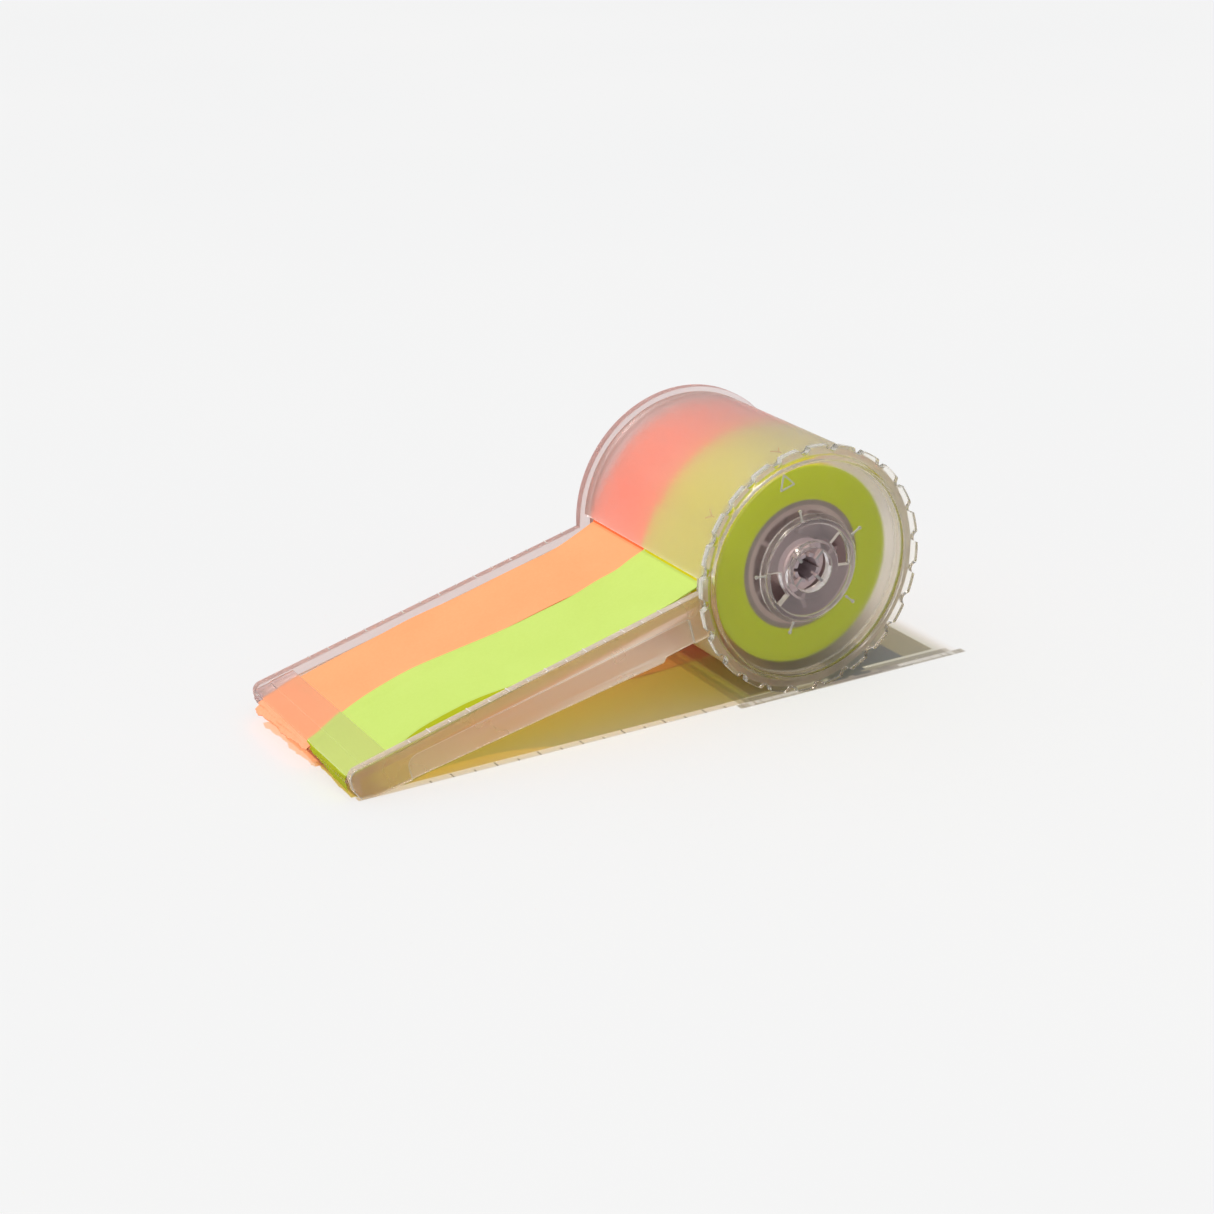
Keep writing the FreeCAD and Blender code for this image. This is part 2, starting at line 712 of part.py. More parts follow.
def write_parts():
    os.makedirs("parts", exist_ok=True)
    for body in nodes:
        body.Shape.exportStep(f"parts/{body.Label}.step")
        box = body.Shape.BoundBox
        print(f"{body.Label:20s} solids {len(body.Shape.Solids)} volume {body.Shape.Volume:9.1f}"
              f"  x {box.XMin:7.2f} {box.XMax:7.2f}  y {box.YMin:7.2f} {box.YMax:7.2f}  z {box.ZMin:6.2f} {box.ZMax:6.2f}")


fill_sheet()
make_drum_shell()
make_far_side_plate()
make_near_arm_wall()
make_arm_bed()
make_front_bar()
make_tear_comb()
make_scale("far_scale_ticks", 1)
make_scale("near_scale_ticks", -1)
make_spindle()
make_reel("yellow", REEL_NEAR)
make_reel("orange", f"({REEL_NEAR} + {REEL_STEP})")
make_tape_tail("yellow", REEL_NEAR, "@yellow_end")
make_tape_tail("orange", f"({REEL_NEAR} + {REEL_STEP})", "@orange_end")
make_side_cap()
make_cap_hub()
check_document()
write_parts()
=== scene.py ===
import math

import bmesh
import bpy
import numpy as np
from mathutils import Matrix, Vector


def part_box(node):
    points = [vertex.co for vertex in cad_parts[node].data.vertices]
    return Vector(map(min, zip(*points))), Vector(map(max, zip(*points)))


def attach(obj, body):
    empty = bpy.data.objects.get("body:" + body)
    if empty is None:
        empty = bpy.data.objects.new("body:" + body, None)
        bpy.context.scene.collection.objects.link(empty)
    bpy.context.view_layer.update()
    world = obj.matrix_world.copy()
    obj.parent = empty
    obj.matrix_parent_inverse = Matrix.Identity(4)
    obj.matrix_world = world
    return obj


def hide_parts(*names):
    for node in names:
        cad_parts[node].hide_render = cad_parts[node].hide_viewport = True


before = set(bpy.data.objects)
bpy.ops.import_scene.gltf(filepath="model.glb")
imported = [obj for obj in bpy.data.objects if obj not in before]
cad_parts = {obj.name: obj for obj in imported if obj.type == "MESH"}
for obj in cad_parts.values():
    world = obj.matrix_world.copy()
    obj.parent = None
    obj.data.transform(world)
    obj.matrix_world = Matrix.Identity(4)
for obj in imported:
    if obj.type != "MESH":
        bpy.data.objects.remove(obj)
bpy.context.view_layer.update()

# ---- sizes in millimetres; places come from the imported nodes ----
MM = 0.001


def packed_box(node):
    """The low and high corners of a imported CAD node, in millimetres."""
    return [np.array(corner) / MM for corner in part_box(node)]


plate_low, plate_high = packed_box("far_side_plate")
bar_low, bar_high = packed_box("front_bar")
cap_low = packed_box("side_cap")[0]
shell_low, shell_high = packed_box("drum_shell")
roll_low, roll_high = packed_box("yellow_tape_roll")
orange_low, orange_high = packed_box("orange_tape_roll")

PLATE_RADIUS = (plate_high[2] - plate_low[2]) / 2
AXIS = np.array([plate_high[0] - PLATE_RADIUS, 0.0, plate_low[2] + PLATE_RADIUS])
FAR_Y = plate_high[1]
NEAR_Y = bar_low[1]
MIDDLE_Y = (FAR_Y + NEAR_Y) / 2
WALL = 2.1
INNER_FAR, INNER_NEAR = FAR_Y - WALL, NEAR_Y + WALL
SHELL_RADIUS = (shell_high[2] - shell_low[2]) / 2
SHELL_WALL = 1.5
SHELL_BORE = SHELL_RADIUS - SHELL_WALL
LIP_ANGLE = 175.0
SLOT_ANGLE = 10.4
SLOPE = math.radians(14.57)
ZERO_REACH = 106.8
ZERO = np.array([AXIS[0] - ZERO_REACH, 0.0, bar_high[2]])
BAR_LENGTH = 10.3
BED_DROP = 2.0
BED_THICK = 1.3
DEPTH_FRONT, DEPTH_BACK, STEP_PLACE, STEP = 8.6, 12.1, 67.6, 1.0
CAP_RADIUS = PLATE_RADIUS - 0.2
CAP_BACK = NEAR_Y - 0.2
CAP_FRONT = cap_low[1]
FACE_THICK = 1.4
FACE_FRONT = CAP_BACK - FACE_THICK
FACE_RADIUS = 26.3
HUB_RADIUS = 12.2
ROLL_RADIUS = (roll_high[2] - roll_low[2]) / 2
CORE_RADIUS = 16.0
NOTCHES = 24
NOTCH_TURN = 5.0
SPOKES = 5
SPOKE_TURN = 31.0
ARROW_TURN = 107.9
MARK_TURNS = (145.7, 101.8)
WINDOW_IN, WINDOW_OUT, WINDOW_START, WINDOW_SWEEP = 7.7, 11.2, -5.0, 47.0
HUB_BORE = 5.3
SKIRT_WALL, SKIRT_DEPTH = 1.2, 2.2
PANEL_FRONT, PANEL_BACK, PANEL_DEPTH = 3.0, 76.0, 0.5
PANEL_TOP_FRONT, PANEL_TOP_BACK, BELOW_WALL = -3.3, -4.6, -30.0
NOSE_THICK = 1.2
GAP = 0.04  # the floor and the strap stay this far from the walls
TAPE_WIDTH = 25.0
TAPE_H = -1.46  # the middle of a loose tape under the strap
TAPE_THICK = 0.3
STRIP_STEPS = 14
PLY_START = 95  # the row of a tape's grid where its torn lower ply begins
EDGE_SHARE = 0.1  # the share of a tape's columns between its near edge and its crease

# ---- how faces are told apart, by the size of their normal's y ----
FLAT_FACE = 0.93
STANDING_FACE = 0.2
SMOOTH_ANGLE = 35.0


# ---- places ----
def arm_points(s, y, h):
    """Points at s along the arm from scale zero, at y across, h above the rail tops, by turning
    (s, h) up the slope."""
    s, y, h = np.broadcast_arrays(np.asarray(s, float), np.asarray(y, float), np.asarray(h, float))
    x = ZERO[0] + s * math.cos(SLOPE) - h * math.sin(SLOPE)
    z = ZERO[2] + s * math.sin(SLOPE) + h * math.cos(SLOPE)
    return np.stack([x, y, z], axis=-1)


def drum_points(radius, angle, y):
    """Points on circles about the drum axis: radius and angle in radians from +X towards +Z, at
    y."""
    radius, angle, y = np.broadcast_arrays(np.asarray(radius, float), np.asarray(angle, float),
                                           np.asarray(y, float))
    return np.stack([AXIS[0] + radius * np.cos(angle), y, AXIS[2] + radius * np.sin(angle)],
                    axis=-1)


def arm_sh(x, z):
    """Arm coordinates (s, h) of a place in the XZ plane, by turning it down the slope."""
    dx, dz = x - ZERO[0], z - ZERO[2]
    cos, sin = math.cos(SLOPE), math.sin(SLOPE)
    return dx * cos + dz * sin, -dx * sin + dz * cos


# ---- meshes ----
def make_piece(name, points, faces, material, body, slot, smooth_angle=SMOOTH_ANGLE, replaces=()):
    """Puts points in millimetres and faces into a mesh, merges doubles, turns normals out and
    rides it on a body."""
    mesh = bpy.data.meshes.new(name)
    mesh.from_pydata((np.asarray(points).reshape(-1, 3) * MM).tolist(), [],
                     [tuple(f) for f in faces])
    mesh.update()
    piece = bpy.data.objects.new(name, mesh)
    bpy.context.scene.collection.objects.link(piece)
    tidy_mesh(mesh, smooth_angle)
    mesh.materials.append(material)
    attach(piece, body)
    if replaces:
        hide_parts(*replaces)
    return piece


def tidy_mesh(mesh, smooth_angle):
    """Merges doubled points, turns every face outwards and shades the mesh smooth up to an
    angle."""
    work = bmesh.new()
    work.from_mesh(mesh)
    bmesh.ops.remove_doubles(work, verts=work.verts, dist=1e-7)
    bmesh.ops.recalc_face_normals(work, faces=work.faces)
    work.to_mesh(mesh)
    work.free()
    mesh.polygons.foreach_set("use_smooth", np.ones(len(mesh.polygons), bool))
    mesh.set_sharp_from_angle(angle=math.radians(smooth_angle))


def grid_faces(rows, columns, close_rows=False, close_columns=False, start=0):
    """Quads between neighbouring points of a grid, wrapping round where it is closed."""
    i = np.arange(rows if close_rows else rows - 1)
    j = np.arange(columns if close_columns else columns - 1)
    i, j = np.meshgrid(i, j, indexing="ij")
    i2, j2 = (i + 1) % rows, (j + 1) % columns
    quads = np.stack([i * columns + j, i * columns + j2, i2 * columns + j2, i2 * columns + j],
                     axis=-1)
    return (quads.reshape(-1, 4) + start).tolist()


def rounded(corners, radius, steps=4):
    """A closed outline with each corner replaced by an arc tangent to its two sides; radius is
    one number or one each."""
    corners = np.asarray(corners, float)
    radii = np.broadcast_to(radius, len(corners))
    out = []
    for i, corner in enumerate(corners):
        to_last, to_next = corners[i - 1] - corner, corners[(i + 1) % len(corners)] - corner
        last_length, next_length = np.linalg.norm(to_last), np.linalg.norm(to_next)
        u, v = to_last / last_length, to_next / next_length
        half = math.acos(np.clip(u @ v, -1, 1)) / 2
        if radii[i] <= 0 or half > math.radians(88):
            out.append(corner[None])
            continue
        reach = min(radii[i] / math.tan(half), 0.48 * last_length, 0.48 * next_length)
        size = reach * math.tan(half)
        middle = corner + (u + v) / np.linalg.norm(u + v) * size / math.sin(half)
        start, end = corner + u * reach - middle, corner + v * reach - middle
        turn = np.linspace(0, 1, steps + 1)[:, None]
        swing = math.acos(np.clip((start @ end) / (size * size), -1, 1))
        arc = (np.sin((1 - turn) * swing) * start + np.sin(turn * swing) * end) / math.sin(swing)
        out.append(middle + arc)
    return np.concatenate(out)


def turned(name, profile, material, body, slot, segments=192, replaces=(), squash_radius=None,
           angle=SMOOTH_ANGLE):
    """A closed (radius, y) profile carried round the drum axis; squash_radius, if given, changes
    radii by angle."""
    profile = np.asarray(profile, float)
    theta = np.linspace(0, 2 * math.pi, segments, endpoint=False)[:, None]
    radius = np.broadcast_to(profile[:, 0], (segments, len(profile)))
    if squash_radius is not None:
        radius = squash_radius(radius, theta)
    points = drum_points(radius, theta, profile[:, 1])
    return make_piece(name, points, grid_faces(segments, len(profile), True, True), material, body,
                      slot, angle, replaces)


def slab_parts(outline, low_y, high_y, edge, steps=3):
    """Points and faces of a plate cut to a closed (x, z) outline between two y, its edges rounded
    by insetting the outline."""
    outline = np.asarray(outline, float)
    if polygon_area(outline) < 0:
        outline = outline[::-1]
    inward = inward_normals(outline)
    turn = np.linspace(0, math.pi / 2, steps + 1)
    inset = np.concatenate([edge * (1 - np.sin(turn)), edge * (1 - np.cos(turn))])
    level = np.concatenate([low_y + edge * (1 - np.cos(turn)), high_y - edge * (1 - np.sin(turn))])
    rings = outline[None] + inward[None] * inset[:, None, None]
    y = np.broadcast_to(level[:, None], rings.shape[:2])
    points = np.stack([rings[..., 0], y, rings[..., 1]], axis=-1)
    count = len(outline)
    faces = grid_faces(len(inset), count, False, True)
    faces.append(list(range(count)))
    faces.append(list(range((len(inset) - 1) * count, len(inset) * count))[::-1])
    return points.reshape(-1, 3), faces


def polygon_area(outline):
    """Half the sum of cross products of neighbouring corners: positive when they run
    anticlockwise."""
    x, z = outline[:, 0], outline[:, 1]
    return float(np.sum(x * np.roll(z, -1) - np.roll(x, -1) * z)) / 2


def inward_normals(outline):
    """At each corner, the direction that moves both its sides inwards by one."""
    ahead = np.roll(outline, -1, axis=0) - outline
    ahead /= np.linalg.norm(ahead, axis=1, keepdims=True)
    normal = np.stack([-ahead[:, 1], ahead[:, 0]], axis=1)
    before = np.roll(normal, 1, axis=0)
    total = normal + before
    return total / np.maximum(1e-6, (1 + np.sum(normal * before, axis=1)))[:, None]


def slab(name, outline, low_y, high_y, edge, material, body, slot, replaces=(),
         angle=SMOOTH_ANGLE):
    """A plate with rounded edges, as slab_parts gives it, as a piece."""
    points, faces = slab_parts(outline, low_y, high_y, edge)
    return make_piece(name, points, faces, material, body, slot, angle, replaces)


def joined(parts):
    """Several (points, faces) as one."""
    points, faces, start = [], [], 0
    for part_points, part_faces in parts:
        points.append(np.asarray(part_points).reshape(-1, 3))
        faces += [[i + start for i in face] for face in part_faces]
        start += len(points[-1])
    return np.concatenate(points), faces


def apply_modifiers(piece):
    """Leaves the piece with the mesh that its modifiers give."""
    graph = bpy.context.evaluated_depsgraph_get()
    mesh = bpy.data.meshes.new_from_object(piece.evaluated_get(graph))
    old = piece.data
    piece.modifiers.clear()
    piece.data = mesh
    bpy.data.meshes.remove(old)


def smooth_line(knots, values, places):
    """A curve through (knot, value) pairs, cubic between knots with slopes from their
    neighbours."""
    knots, values = np.asarray(knots, float), np.asarray(values, float)
    slopes = np.gradient(values, knots)
    i = np.clip(np.searchsorted(knots, places) - 1, 0, len(knots) - 2)
    width = knots[i + 1] - knots[i]
    t = np.clip((places - knots[i]) / width, 0, 1)
    a, b = values[i], values[i + 1]
    rise = (1 + 2 * t) * (1 - t) ** 2 * a + t * t * (3 - 2 * t) * b
    lean = t * (1 - t) ** 2 * width * slopes[i] + t * t * (t - 1) * width * slopes[i + 1]
    return rise + lean


# ---- materials ----
def new_material(name):
    """A material with an empty node tree."""
    made = bpy.data.materials.new(name)
    made.use_nodes = True
    tree = made.node_tree
    tree.nodes.clear()
    return made, tree


def add(tree, kind, **inputs):
    """A shader node with some of its sockets set, by name, or linked when the value is a
    socket."""
    node = tree.nodes.new(kind)
    for key, value in inputs.items():
        numbered = key[0] == "i" and key[1:].isdigit()
        socket = node.inputs[int(key[1:]) if numbered else key.replace("_", " ")]
        if isinstance(value, bpy.types.NodeSocket):
            tree.links.new(value, socket)
        else:
            socket.default_value = value
    return node


def math_node(tree, operation, a, b=0.0, clamp=False):
    """The result of one arithmetic step."""
    node = add(tree, "ShaderNodeMath", i0=a, i1=b)
    node.operation = operation
    node.use_clamp = clamp
    return node.outputs[0]


def mapped(tree, value, low, high, to_low, to_high):
    """A value carried in a straight line from one range to another."""
    node = add(tree, "ShaderNodeMapRange", Value=value, From_Min=low, From_Max=high, To_Min=to_low,
               To_Max=to_high)
    return node.outputs[0]


def noise(tree, scale, detail=4.0, roughness=0.55, stretch=(1, 1, 1)):
    """Cloudy noise fixed to the piece's own places."""
    place = add(tree, "ShaderNodeTexCoord").outputs["Object"]
    place = add(tree, "ShaderNodeMapping", Vector=place, Scale=stretch).outputs[0]
    return add(tree, "ShaderNodeTexNoise", Vector=place, Scale=scale, Detail=detail,
               Roughness=roughness).outputs["Fac"]


def colours(tree, factor, *stops):
    """A ramp between (place, colour) stops."""
    ramp = add(tree, "ShaderNodeValToRGB", Fac=factor)
    elements = ramp.color_ramp.elements
    while len(elements) < len(stops):
        elements.new(0.5)
    for element, (place, colour) in zip(elements, stops):
        element.position = place
        element.color = (*colour, 1.0)
    return ramp.outputs[0]


def height_share(tree):
    """A number that goes from 0 in the lower half of the drum to 1 in its upper half."""
    place = add(tree, "ShaderNodeTexCoord").outputs["Object"]
    z = add(tree, "ShaderNodeSeparateXYZ", Vector=place).outputs["Z"]
    return mapped(tree, z, AXIS[2] * MM - 0.006, AXIS[2] * MM + 0.006, 0.0, 1.0)


def height_tint(tree, low, high):
    """A tint that changes from the lower half of the drum to its upper half."""
    return colours(tree, height_share(tree), (0.0, low), (1.0, high))


def through_shadow(tree, shader, tint, clear_to_diffuse=True):
    """Lets a share of the light through: shadow rays, and for clear plastic diffuse rays, meet a
    tinted clear surface."""
    colour = tint if isinstance(tint, bpy.types.NodeSocket) else (*tint, 1.0)
    clear = add(tree, "ShaderNodeBsdfTransparent", Color=colour).outputs[0]
    path = add(tree, "ShaderNodeLightPath").outputs
    passes = path["Is Shadow Ray"]
    if clear_to_diffuse:
        passes = math_node(tree, "MAXIMUM", passes, path["Is Diffuse Ray"])
    mixed = add(tree, "ShaderNodeMixShader", i0=passes, i1=shader, i2=clear).outputs[0]
    add(tree, "ShaderNodeOutputMaterial", Surface=mixed)


def frosted(name, tint, tint_dark, roughness, veil, shadow, bump=0.02, grain=900.0,
            veil_colour=(0.9, 0.87, 0.88),
            shine=0.5, shadow_low=None, ior=1.49):
    """Moulded clear plastic with a fine etched surface: rough refraction under a thin white
    veil."""
    made, tree = new_material(name)
    cloud, fine = noise(tree, 55.0, 3.0), noise(tree, grain, 3.0, 0.7)
    colour = colours(tree, cloud, (0.35, tint_dark), (0.65, tint))
    rough = mapped(tree, cloud, 0.3, 0.7, roughness * 0.9, roughness * 1.12)
    normal = add(tree, "ShaderNodeBump", Strength=bump, Distance=0.0002, Height=fine).outputs[0]
    body = add(tree, "ShaderNodeBsdfPrincipled", Base_Color=colour, Roughness=rough, IOR=ior,
               Normal=normal)
    body.inputs["Transmission Weight"].default_value = 1.0
    body.inputs["Specular IOR Level"].default_value = shine
    skin = add(tree, "ShaderNodeBsdfDiffuse", Color=(*veil_colour, 1.0), Normal=normal).outputs[0]
    glow = add(tree, "ShaderNodeBsdfTranslucent", Color=(*veil_colour, 1.0),
               Normal=normal).outputs[0]
    milk = add(tree, "ShaderNodeMixShader", i0=0.45, i1=skin, i2=glow).outputs[0]
    facing = add(tree, "ShaderNodeLayerWeight", Blend=0.35).outputs["Facing"]
    amount = mapped(tree, facing, 0.0, 1.0, veil * 0.6, min(0.9, veil * 2.4))
    if shadow_low:
        lower = mapped(tree, height_share(tree), 0.0, 1.0, 2.0, 1.0)
        amount = math_node(tree, "MULTIPLY", amount, lower, clamp=True)
    surface = add(tree, "ShaderNodeMixShader", i0=amount, i1=body.outputs[0], i2=milk).outputs[0]
    through_shadow(tree, surface, height_tint(tree, shadow_low, shadow) if shadow_low else shadow)
    return made


def paper(name, colour, shade, shadow, through=0.25, wound=False, painted_glow=0.0):
    """Coloured note paper: matt fibres that let some light through; wound paper shows the edges
    of its turns. painted_glow gives the paper a painted glow, light of its own colour."""
    made, tree = new_material(name)
    fibre = noise(tree, 1400.0, 4.0, 0.65)
    cloud = noise(tree, 60.0, 3.0)
    blend = math_node(tree, "ADD", math_node(tree, "MULTIPLY", fibre, 0.5),
                      math_node(tree, "MULTIPLY", cloud, 0.5))
    height = fibre
    if wound:
        place = add(tree, "ShaderNodeTexCoord").outputs["Object"]
        centre = tuple(AXIS * MM)
        offset = add(tree, "ShaderNodeVectorMath", i0=place, i1=(centre[0], 0.0, centre[2]))
        offset.operation = "SUBTRACT"
        flat = add(tree, "ShaderNodeVectorMath", i0=offset.outputs[0], i1=(1, 0, 1))
        flat.operation = "MULTIPLY"
        length = add(tree, "ShaderNodeVectorMath", i0=flat.outputs[0])
        length.operation = "LENGTH"
        rings = add(tree, "ShaderNodeTexNoise", Scale=2.6, Detail=3.0)
        rings.noise_dimensions = "1D"
        tree.links.new(math_node(tree, "MULTIPLY", length.outputs["Value"], 1 / MM),
                       rings.inputs["W"])
        height = rings.outputs["Fac"]
        blend = math_node(tree, "ADD", math_node(tree, "MULTIPLY", height, 0.7),
                          math_node(tree, "MULTIPLY", cloud, 0.3))
    tone = colours(tree, blend, (0.3, shade), (0.6, colour))
    normal = add(tree, "ShaderNodeBump", Strength=0.25, Distance=0.0001, Height=height).outputs[0]
    rough = mapped(tree, fibre, 0.3, 0.7, 0.75, 0.9)
    face = add(tree, "ShaderNodeBsdfPrincipled", Base_Color=tone, Roughness=rough, Normal=normal)
    face.inputs["Specular IOR Level"].default_value = 0.2
    # painted glow: the paper emits its own colour, standing in for light scattered inside the drum
    face.inputs["Emission Color"].default_value = (*colour, 1.0)
    face.inputs["Emission Strength"].default_value = painted_glow
    glow = add(tree, "ShaderNodeBsdfTranslucent", Color=tone, Normal=normal).outputs[0]
    surface = add(tree, "ShaderNodeMixShader", i0=through, i1=face.outputs[0], i2=glow).outputs[0]
    through_shadow(tree, surface, shadow, clear_to_diffuse=False)
    return made


def matt(name, colour, shade, roughness, scale=300.0, strength=0.1):
    """A solid matt moulding or card with a fine grain."""
    made, tree = new_material(name)
    grain = noise(tree, scale)
    tone = colours(tree, grain, (0.35, shade), (0.65, colour))
    rough = mapped(tree, grain, 0.3, 0.7, roughness * 0.9, min(1.0, roughness * 1.1))
    normal = add(tree, "ShaderNodeBump", Strength=strength, Distance=0.0002,
                 Height=grain).outputs[0]
    body = add(tree, "ShaderNodeBsdfPrincipled", Base_Color=tone, Roughness=rough, Normal=normal)
    add(tree, "ShaderNodeOutputMaterial", Surface=body.outputs[0])
    return made


drum_plastic = frosted(
    "frosted_drum", (0.99, 0.94, 0.93), (0.98, 0.92, 0.91),
    roughness=0.44, veil=0.095, shadow=(0.99, 0.97, 0.96),
    veil_colour=(1.0, 0.91, 0.90), shadow_low=(0.74, 0.73, 0.63),
)
rail_plastic = frosted(
    "frosted_rail", (0.97, 0.88, 0.87), (0.96, 0.86, 0.85),
    roughness=0.30, veil=0.14, shadow=(0.84, 0.78, 0.72),
    veil_colour=(0.96, 0.84, 0.83),
)
rim_plastic = frosted(
    "frosted_rim", (0.97, 0.86, 0.85), (0.95, 0.83, 0.82),
    roughness=0.30, veil=0.42, shadow=(0.84, 0.78, 0.74),
    veil_colour=(0.80, 0.56, 0.54),
)
# painted light: the near wall's plastic is tinted and veiled warm, standing in for light coloured
# by the tapes seen through it
wall_plastic = frosted(
    "frosted_wall", (0.99, 0.91, 0.78), (0.97, 0.88, 0.74),
    roughness=0.28, veil=0.20, shadow=(0.84, 0.72, 0.55),
    veil_colour=(1.0, 0.80, 0.58),
)
# painted highlight: a milkier, lighter plastic for the near wall's edges, standing in for the
# light they catch
edge_highlight_plastic = frosted(
    "frosted_edge_highlight", (0.99, 0.95, 0.92), (0.98, 0.93, 0.90),
    roughness=0.25, veil=0.42, shadow=(0.86, 0.78, 0.66),
    veil_colour=(0.98, 0.90, 0.82),
)
panel_plastic = frosted(
    "frosted_panel", (0.99, 0.92, 0.84), (0.97, 0.90, 0.81),
    roughness=0.28, veil=0.50, shadow=(0.86, 0.76, 0.62),
    veil_colour=(0.99, 0.85, 0.70),
)
floor_plastic = frosted(
    "frosted_channel", (0.98, 0.90, 0.84), (0.97, 0.88, 0.80),
    roughness=0.34, veil=0.22, shadow=(0.92, 0.82, 0.66),
    veil_colour=(0.97, 0.84, 0.76),
)
bar_plastic = frosted(
    "frosted_bar", (0.98, 0.87, 0.93), (0.97, 0.85, 0.91),
    roughness=0.30, veil=0.035, shadow=(0.97, 0.94, 0.92),
    bump=0.0, veil_colour=(1.0, 0.86, 0.86),
)
cap_plastic = frosted(
    "clear_cap", (0.99, 0.97, 0.92), (0.98, 0.95, 0.89),
    roughness=0.24, veil=0.015, shadow=(0.80, 0.77, 0.72),
    ior=1.3,
)
# painted highlight: a milky near-white plastic for moulded ribs, lines and edges, standing in for
# the highlights they catch
highlight_plastic = frosted(
    "moulded_line_painted_highlight", (0.98, 0.97, 0.96), (0.97, 0.95, 0.94),
    roughness=0.15, veil=0.85, shadow=(0.8, 0.78, 0.76),
    veil_colour=(0.98, 0.97, 0.94),
)
hub_plastic = frosted(
    "clear_hub", (0.97, 0.94, 0.95), (0.94, 0.91, 0.92),
    roughness=0.12, veil=0.10, shadow=(0.92, 0.89, 0.90),
    veil_colour=(0.85, 0.80, 0.82), shine=0.35,
)
reel_plastic = matt("moulded_reel", (0.76, 0.62, 0.61), (0.68, 0.54, 0.54), 0.45, scale=200.0,
                    strength=0.05)
mark_plastic = matt("scale_mark", (0.84, 0.79, 0.76), (0.74, 0.69, 0.67), 0.5)
leg_plastic = matt("hub_leg", (0.60, 0.50, 0.52), (0.52, 0.42, 0.44), 0.35, scale=200.0,
                   strength=0.05)
core_card = matt("core_card", (0.46, 0.38, 0.38), (0.40, 0.33, 0.33), 0.85, scale=500.0,
                 strength=0.3)
orange_paper = paper("orange_paper", (1.0, 0.55, 0.27), (1.0, 0.50, 0.235), (0.63, 0.43, 0.18))
yellow_paper = paper("yellow_paper", (0.70, 0.86, 0.245), (0.67, 0.83, 0.215), (0.58, 0.56, 0.20))
# painted shade: a darker copy of the yellow paper for the tape's turned-down near edge, the steep
# faces at its torn end and its hanging lower ply
yellow_painted_shade = paper("yellow_painted_shade", (0.56, 0.60, 0.02), (0.48, 0.52, 0.015), (0.80, 0.68, 0.20))
orange_torn = paper("orange_torn", (1.0, 0.56, 0.34), (1.0, 0.47, 0.24), (0.96, 0.78, 0.62))
# painted glow: the wound orange and the yellow roll's side faces give off a little light of their
# own
orange_wound = paper("orange_wound", (1.0, 0.18, 0.055), (1.0, 0.15, 0.04), (0.60, 0.32, 0.20),
                     through=0.1, wound=True, painted_glow=0.12)
yellow_wound = paper("yellow_wound", (0.74, 0.70, 0.0), (0.68, 0.64, 0.0), (0.58, 0.52, 0.28),
                     through=0.1, wound=True)
# A brighter, greener copy of the wound yellow for the roll's side faces: partly the more saturated
# edge of wound tape, partly painted light on faces that the sun only grazes
yellow_side_painted_light = paper("yellow_side_painted_light", (0.82, 1.0, 0.0), (0.76, 0.94, 0.0), (0.58, 0.52, 0.28),
                    through=0.1, wound=True, painted_glow=0.05)


def paint(node, material):
    """Gives a CAD node its finish, in place of the materials it came with."""
    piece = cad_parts[node]
    piece.data.materials.clear()
    piece.data.materials.append(material)


# ---- the case ----
axis_s, axis_h = arm_sh(AXIS[0], AXIS[2])


def sh_to_xz(points):
    """Arm coordinates (s, h) as places (x, z)."""
    points = np.asarray(points, float)
    return arm_points(points[:, 0], 0.0, points[:, 1])[:, [0, 2]]


def circle_reach(radius, h):
    """How far along the arm a line at height h meets a circle about the drum axis."""
    return axis_s - math.sqrt(radius * radius - (h - axis_h) ** 2)


def cut_with(piece, cutters, operation="DIFFERENCE", bevel=0.0, segments=2):
    """Takes the cutters off the piece, or adds them to it, then rounds what edges are left
    sharp."""
    for cutter in cutters:
        change = piece.modifiers.new("cut", "BOOLEAN")
        change.operation = operation
        change.solver = "EXACT"
        change.object = cutter
    if bevel:
        add_bevel(piece, bevel, segments)
    apply_modifiers(piece)
    for cutter in cutters:
        mesh = cutter.data
        bpy.data.objects.remove(cutter)
        bpy.data.meshes.remove(mesh)
    shade(piece)


def add_bevel(piece, width, segments=2):
    """Rounds the edges that turn by more than 40 degrees."""
    edge = piece.modifiers.new("edge", "BEVEL")
    edge.width = width * MM
    edge.segments = segments
    edge.limit_method = "ANGLE"
    edge.angle_limit = math.radians(40)
    edge.harden_normals = False


def edge_faces(piece, material, flat=FLAT_FACE):
    """Gives the faces that don't lie flat in the XZ plane a material of their own."""
    piece.data.materials.append(material)
    for face in piece.data.polygons:
        if abs(face.normal.y) < flat:
            face.material_index = len(piece.data.materials) - 1


def shade(piece, angle=SMOOTH_ANGLE):
    """Shades a piece smooth up to an angle."""
    piece.data.polygons.foreach_set("use_smooth", np.ones(len(piece.data.polygons), bool))
    piece.data.set_sharp_from_angle(angle=math.radians(angle))


def loose(points, faces):
    """A mesh object that only shapes another one."""
    mesh = bpy.data.meshes.new("cutter")
    mesh.from_pydata((np.asarray(points).reshape(-1, 3) * MM).tolist(), [],
                     [tuple(f) for f in faces])
    tidy_mesh(mesh, 30)
    made = bpy.data.objects.new("cutter", mesh)
    bpy.context.scene.collection.objects.link(made)
    return made


def prism(outline, low_y, high_y):
    """A straight plate cut to a closed (x, z) outline."""
    outline = np.asarray(outline, float)
    count = len(outline)
    points = np.concatenate([
        np.column_stack([outline[:, 0], np.full(count, y), outline[:, 1]]) for y in (low_y, high_y)
    ])
    return points, grid_faces(2, count, False, True) + [list(range(count))[::-1],
                                                        list(range(count, 2 * count))]


def table(s):
    """The height h of the table under a place along the arm."""
    return -(ZERO[2] + s * math.sin(SLOPE)) / math.cos(SLOPE)


FRONT_FOOT, BACK_FOOT = -(BAR_LENGTH - NOSE_THICK), -(BAR_LENGTH - 4.4)
WALL_ROUNDING = [2.4, 1.2, 0.5, 0.5, 0.4, 0.4, 0.8, 0.8]


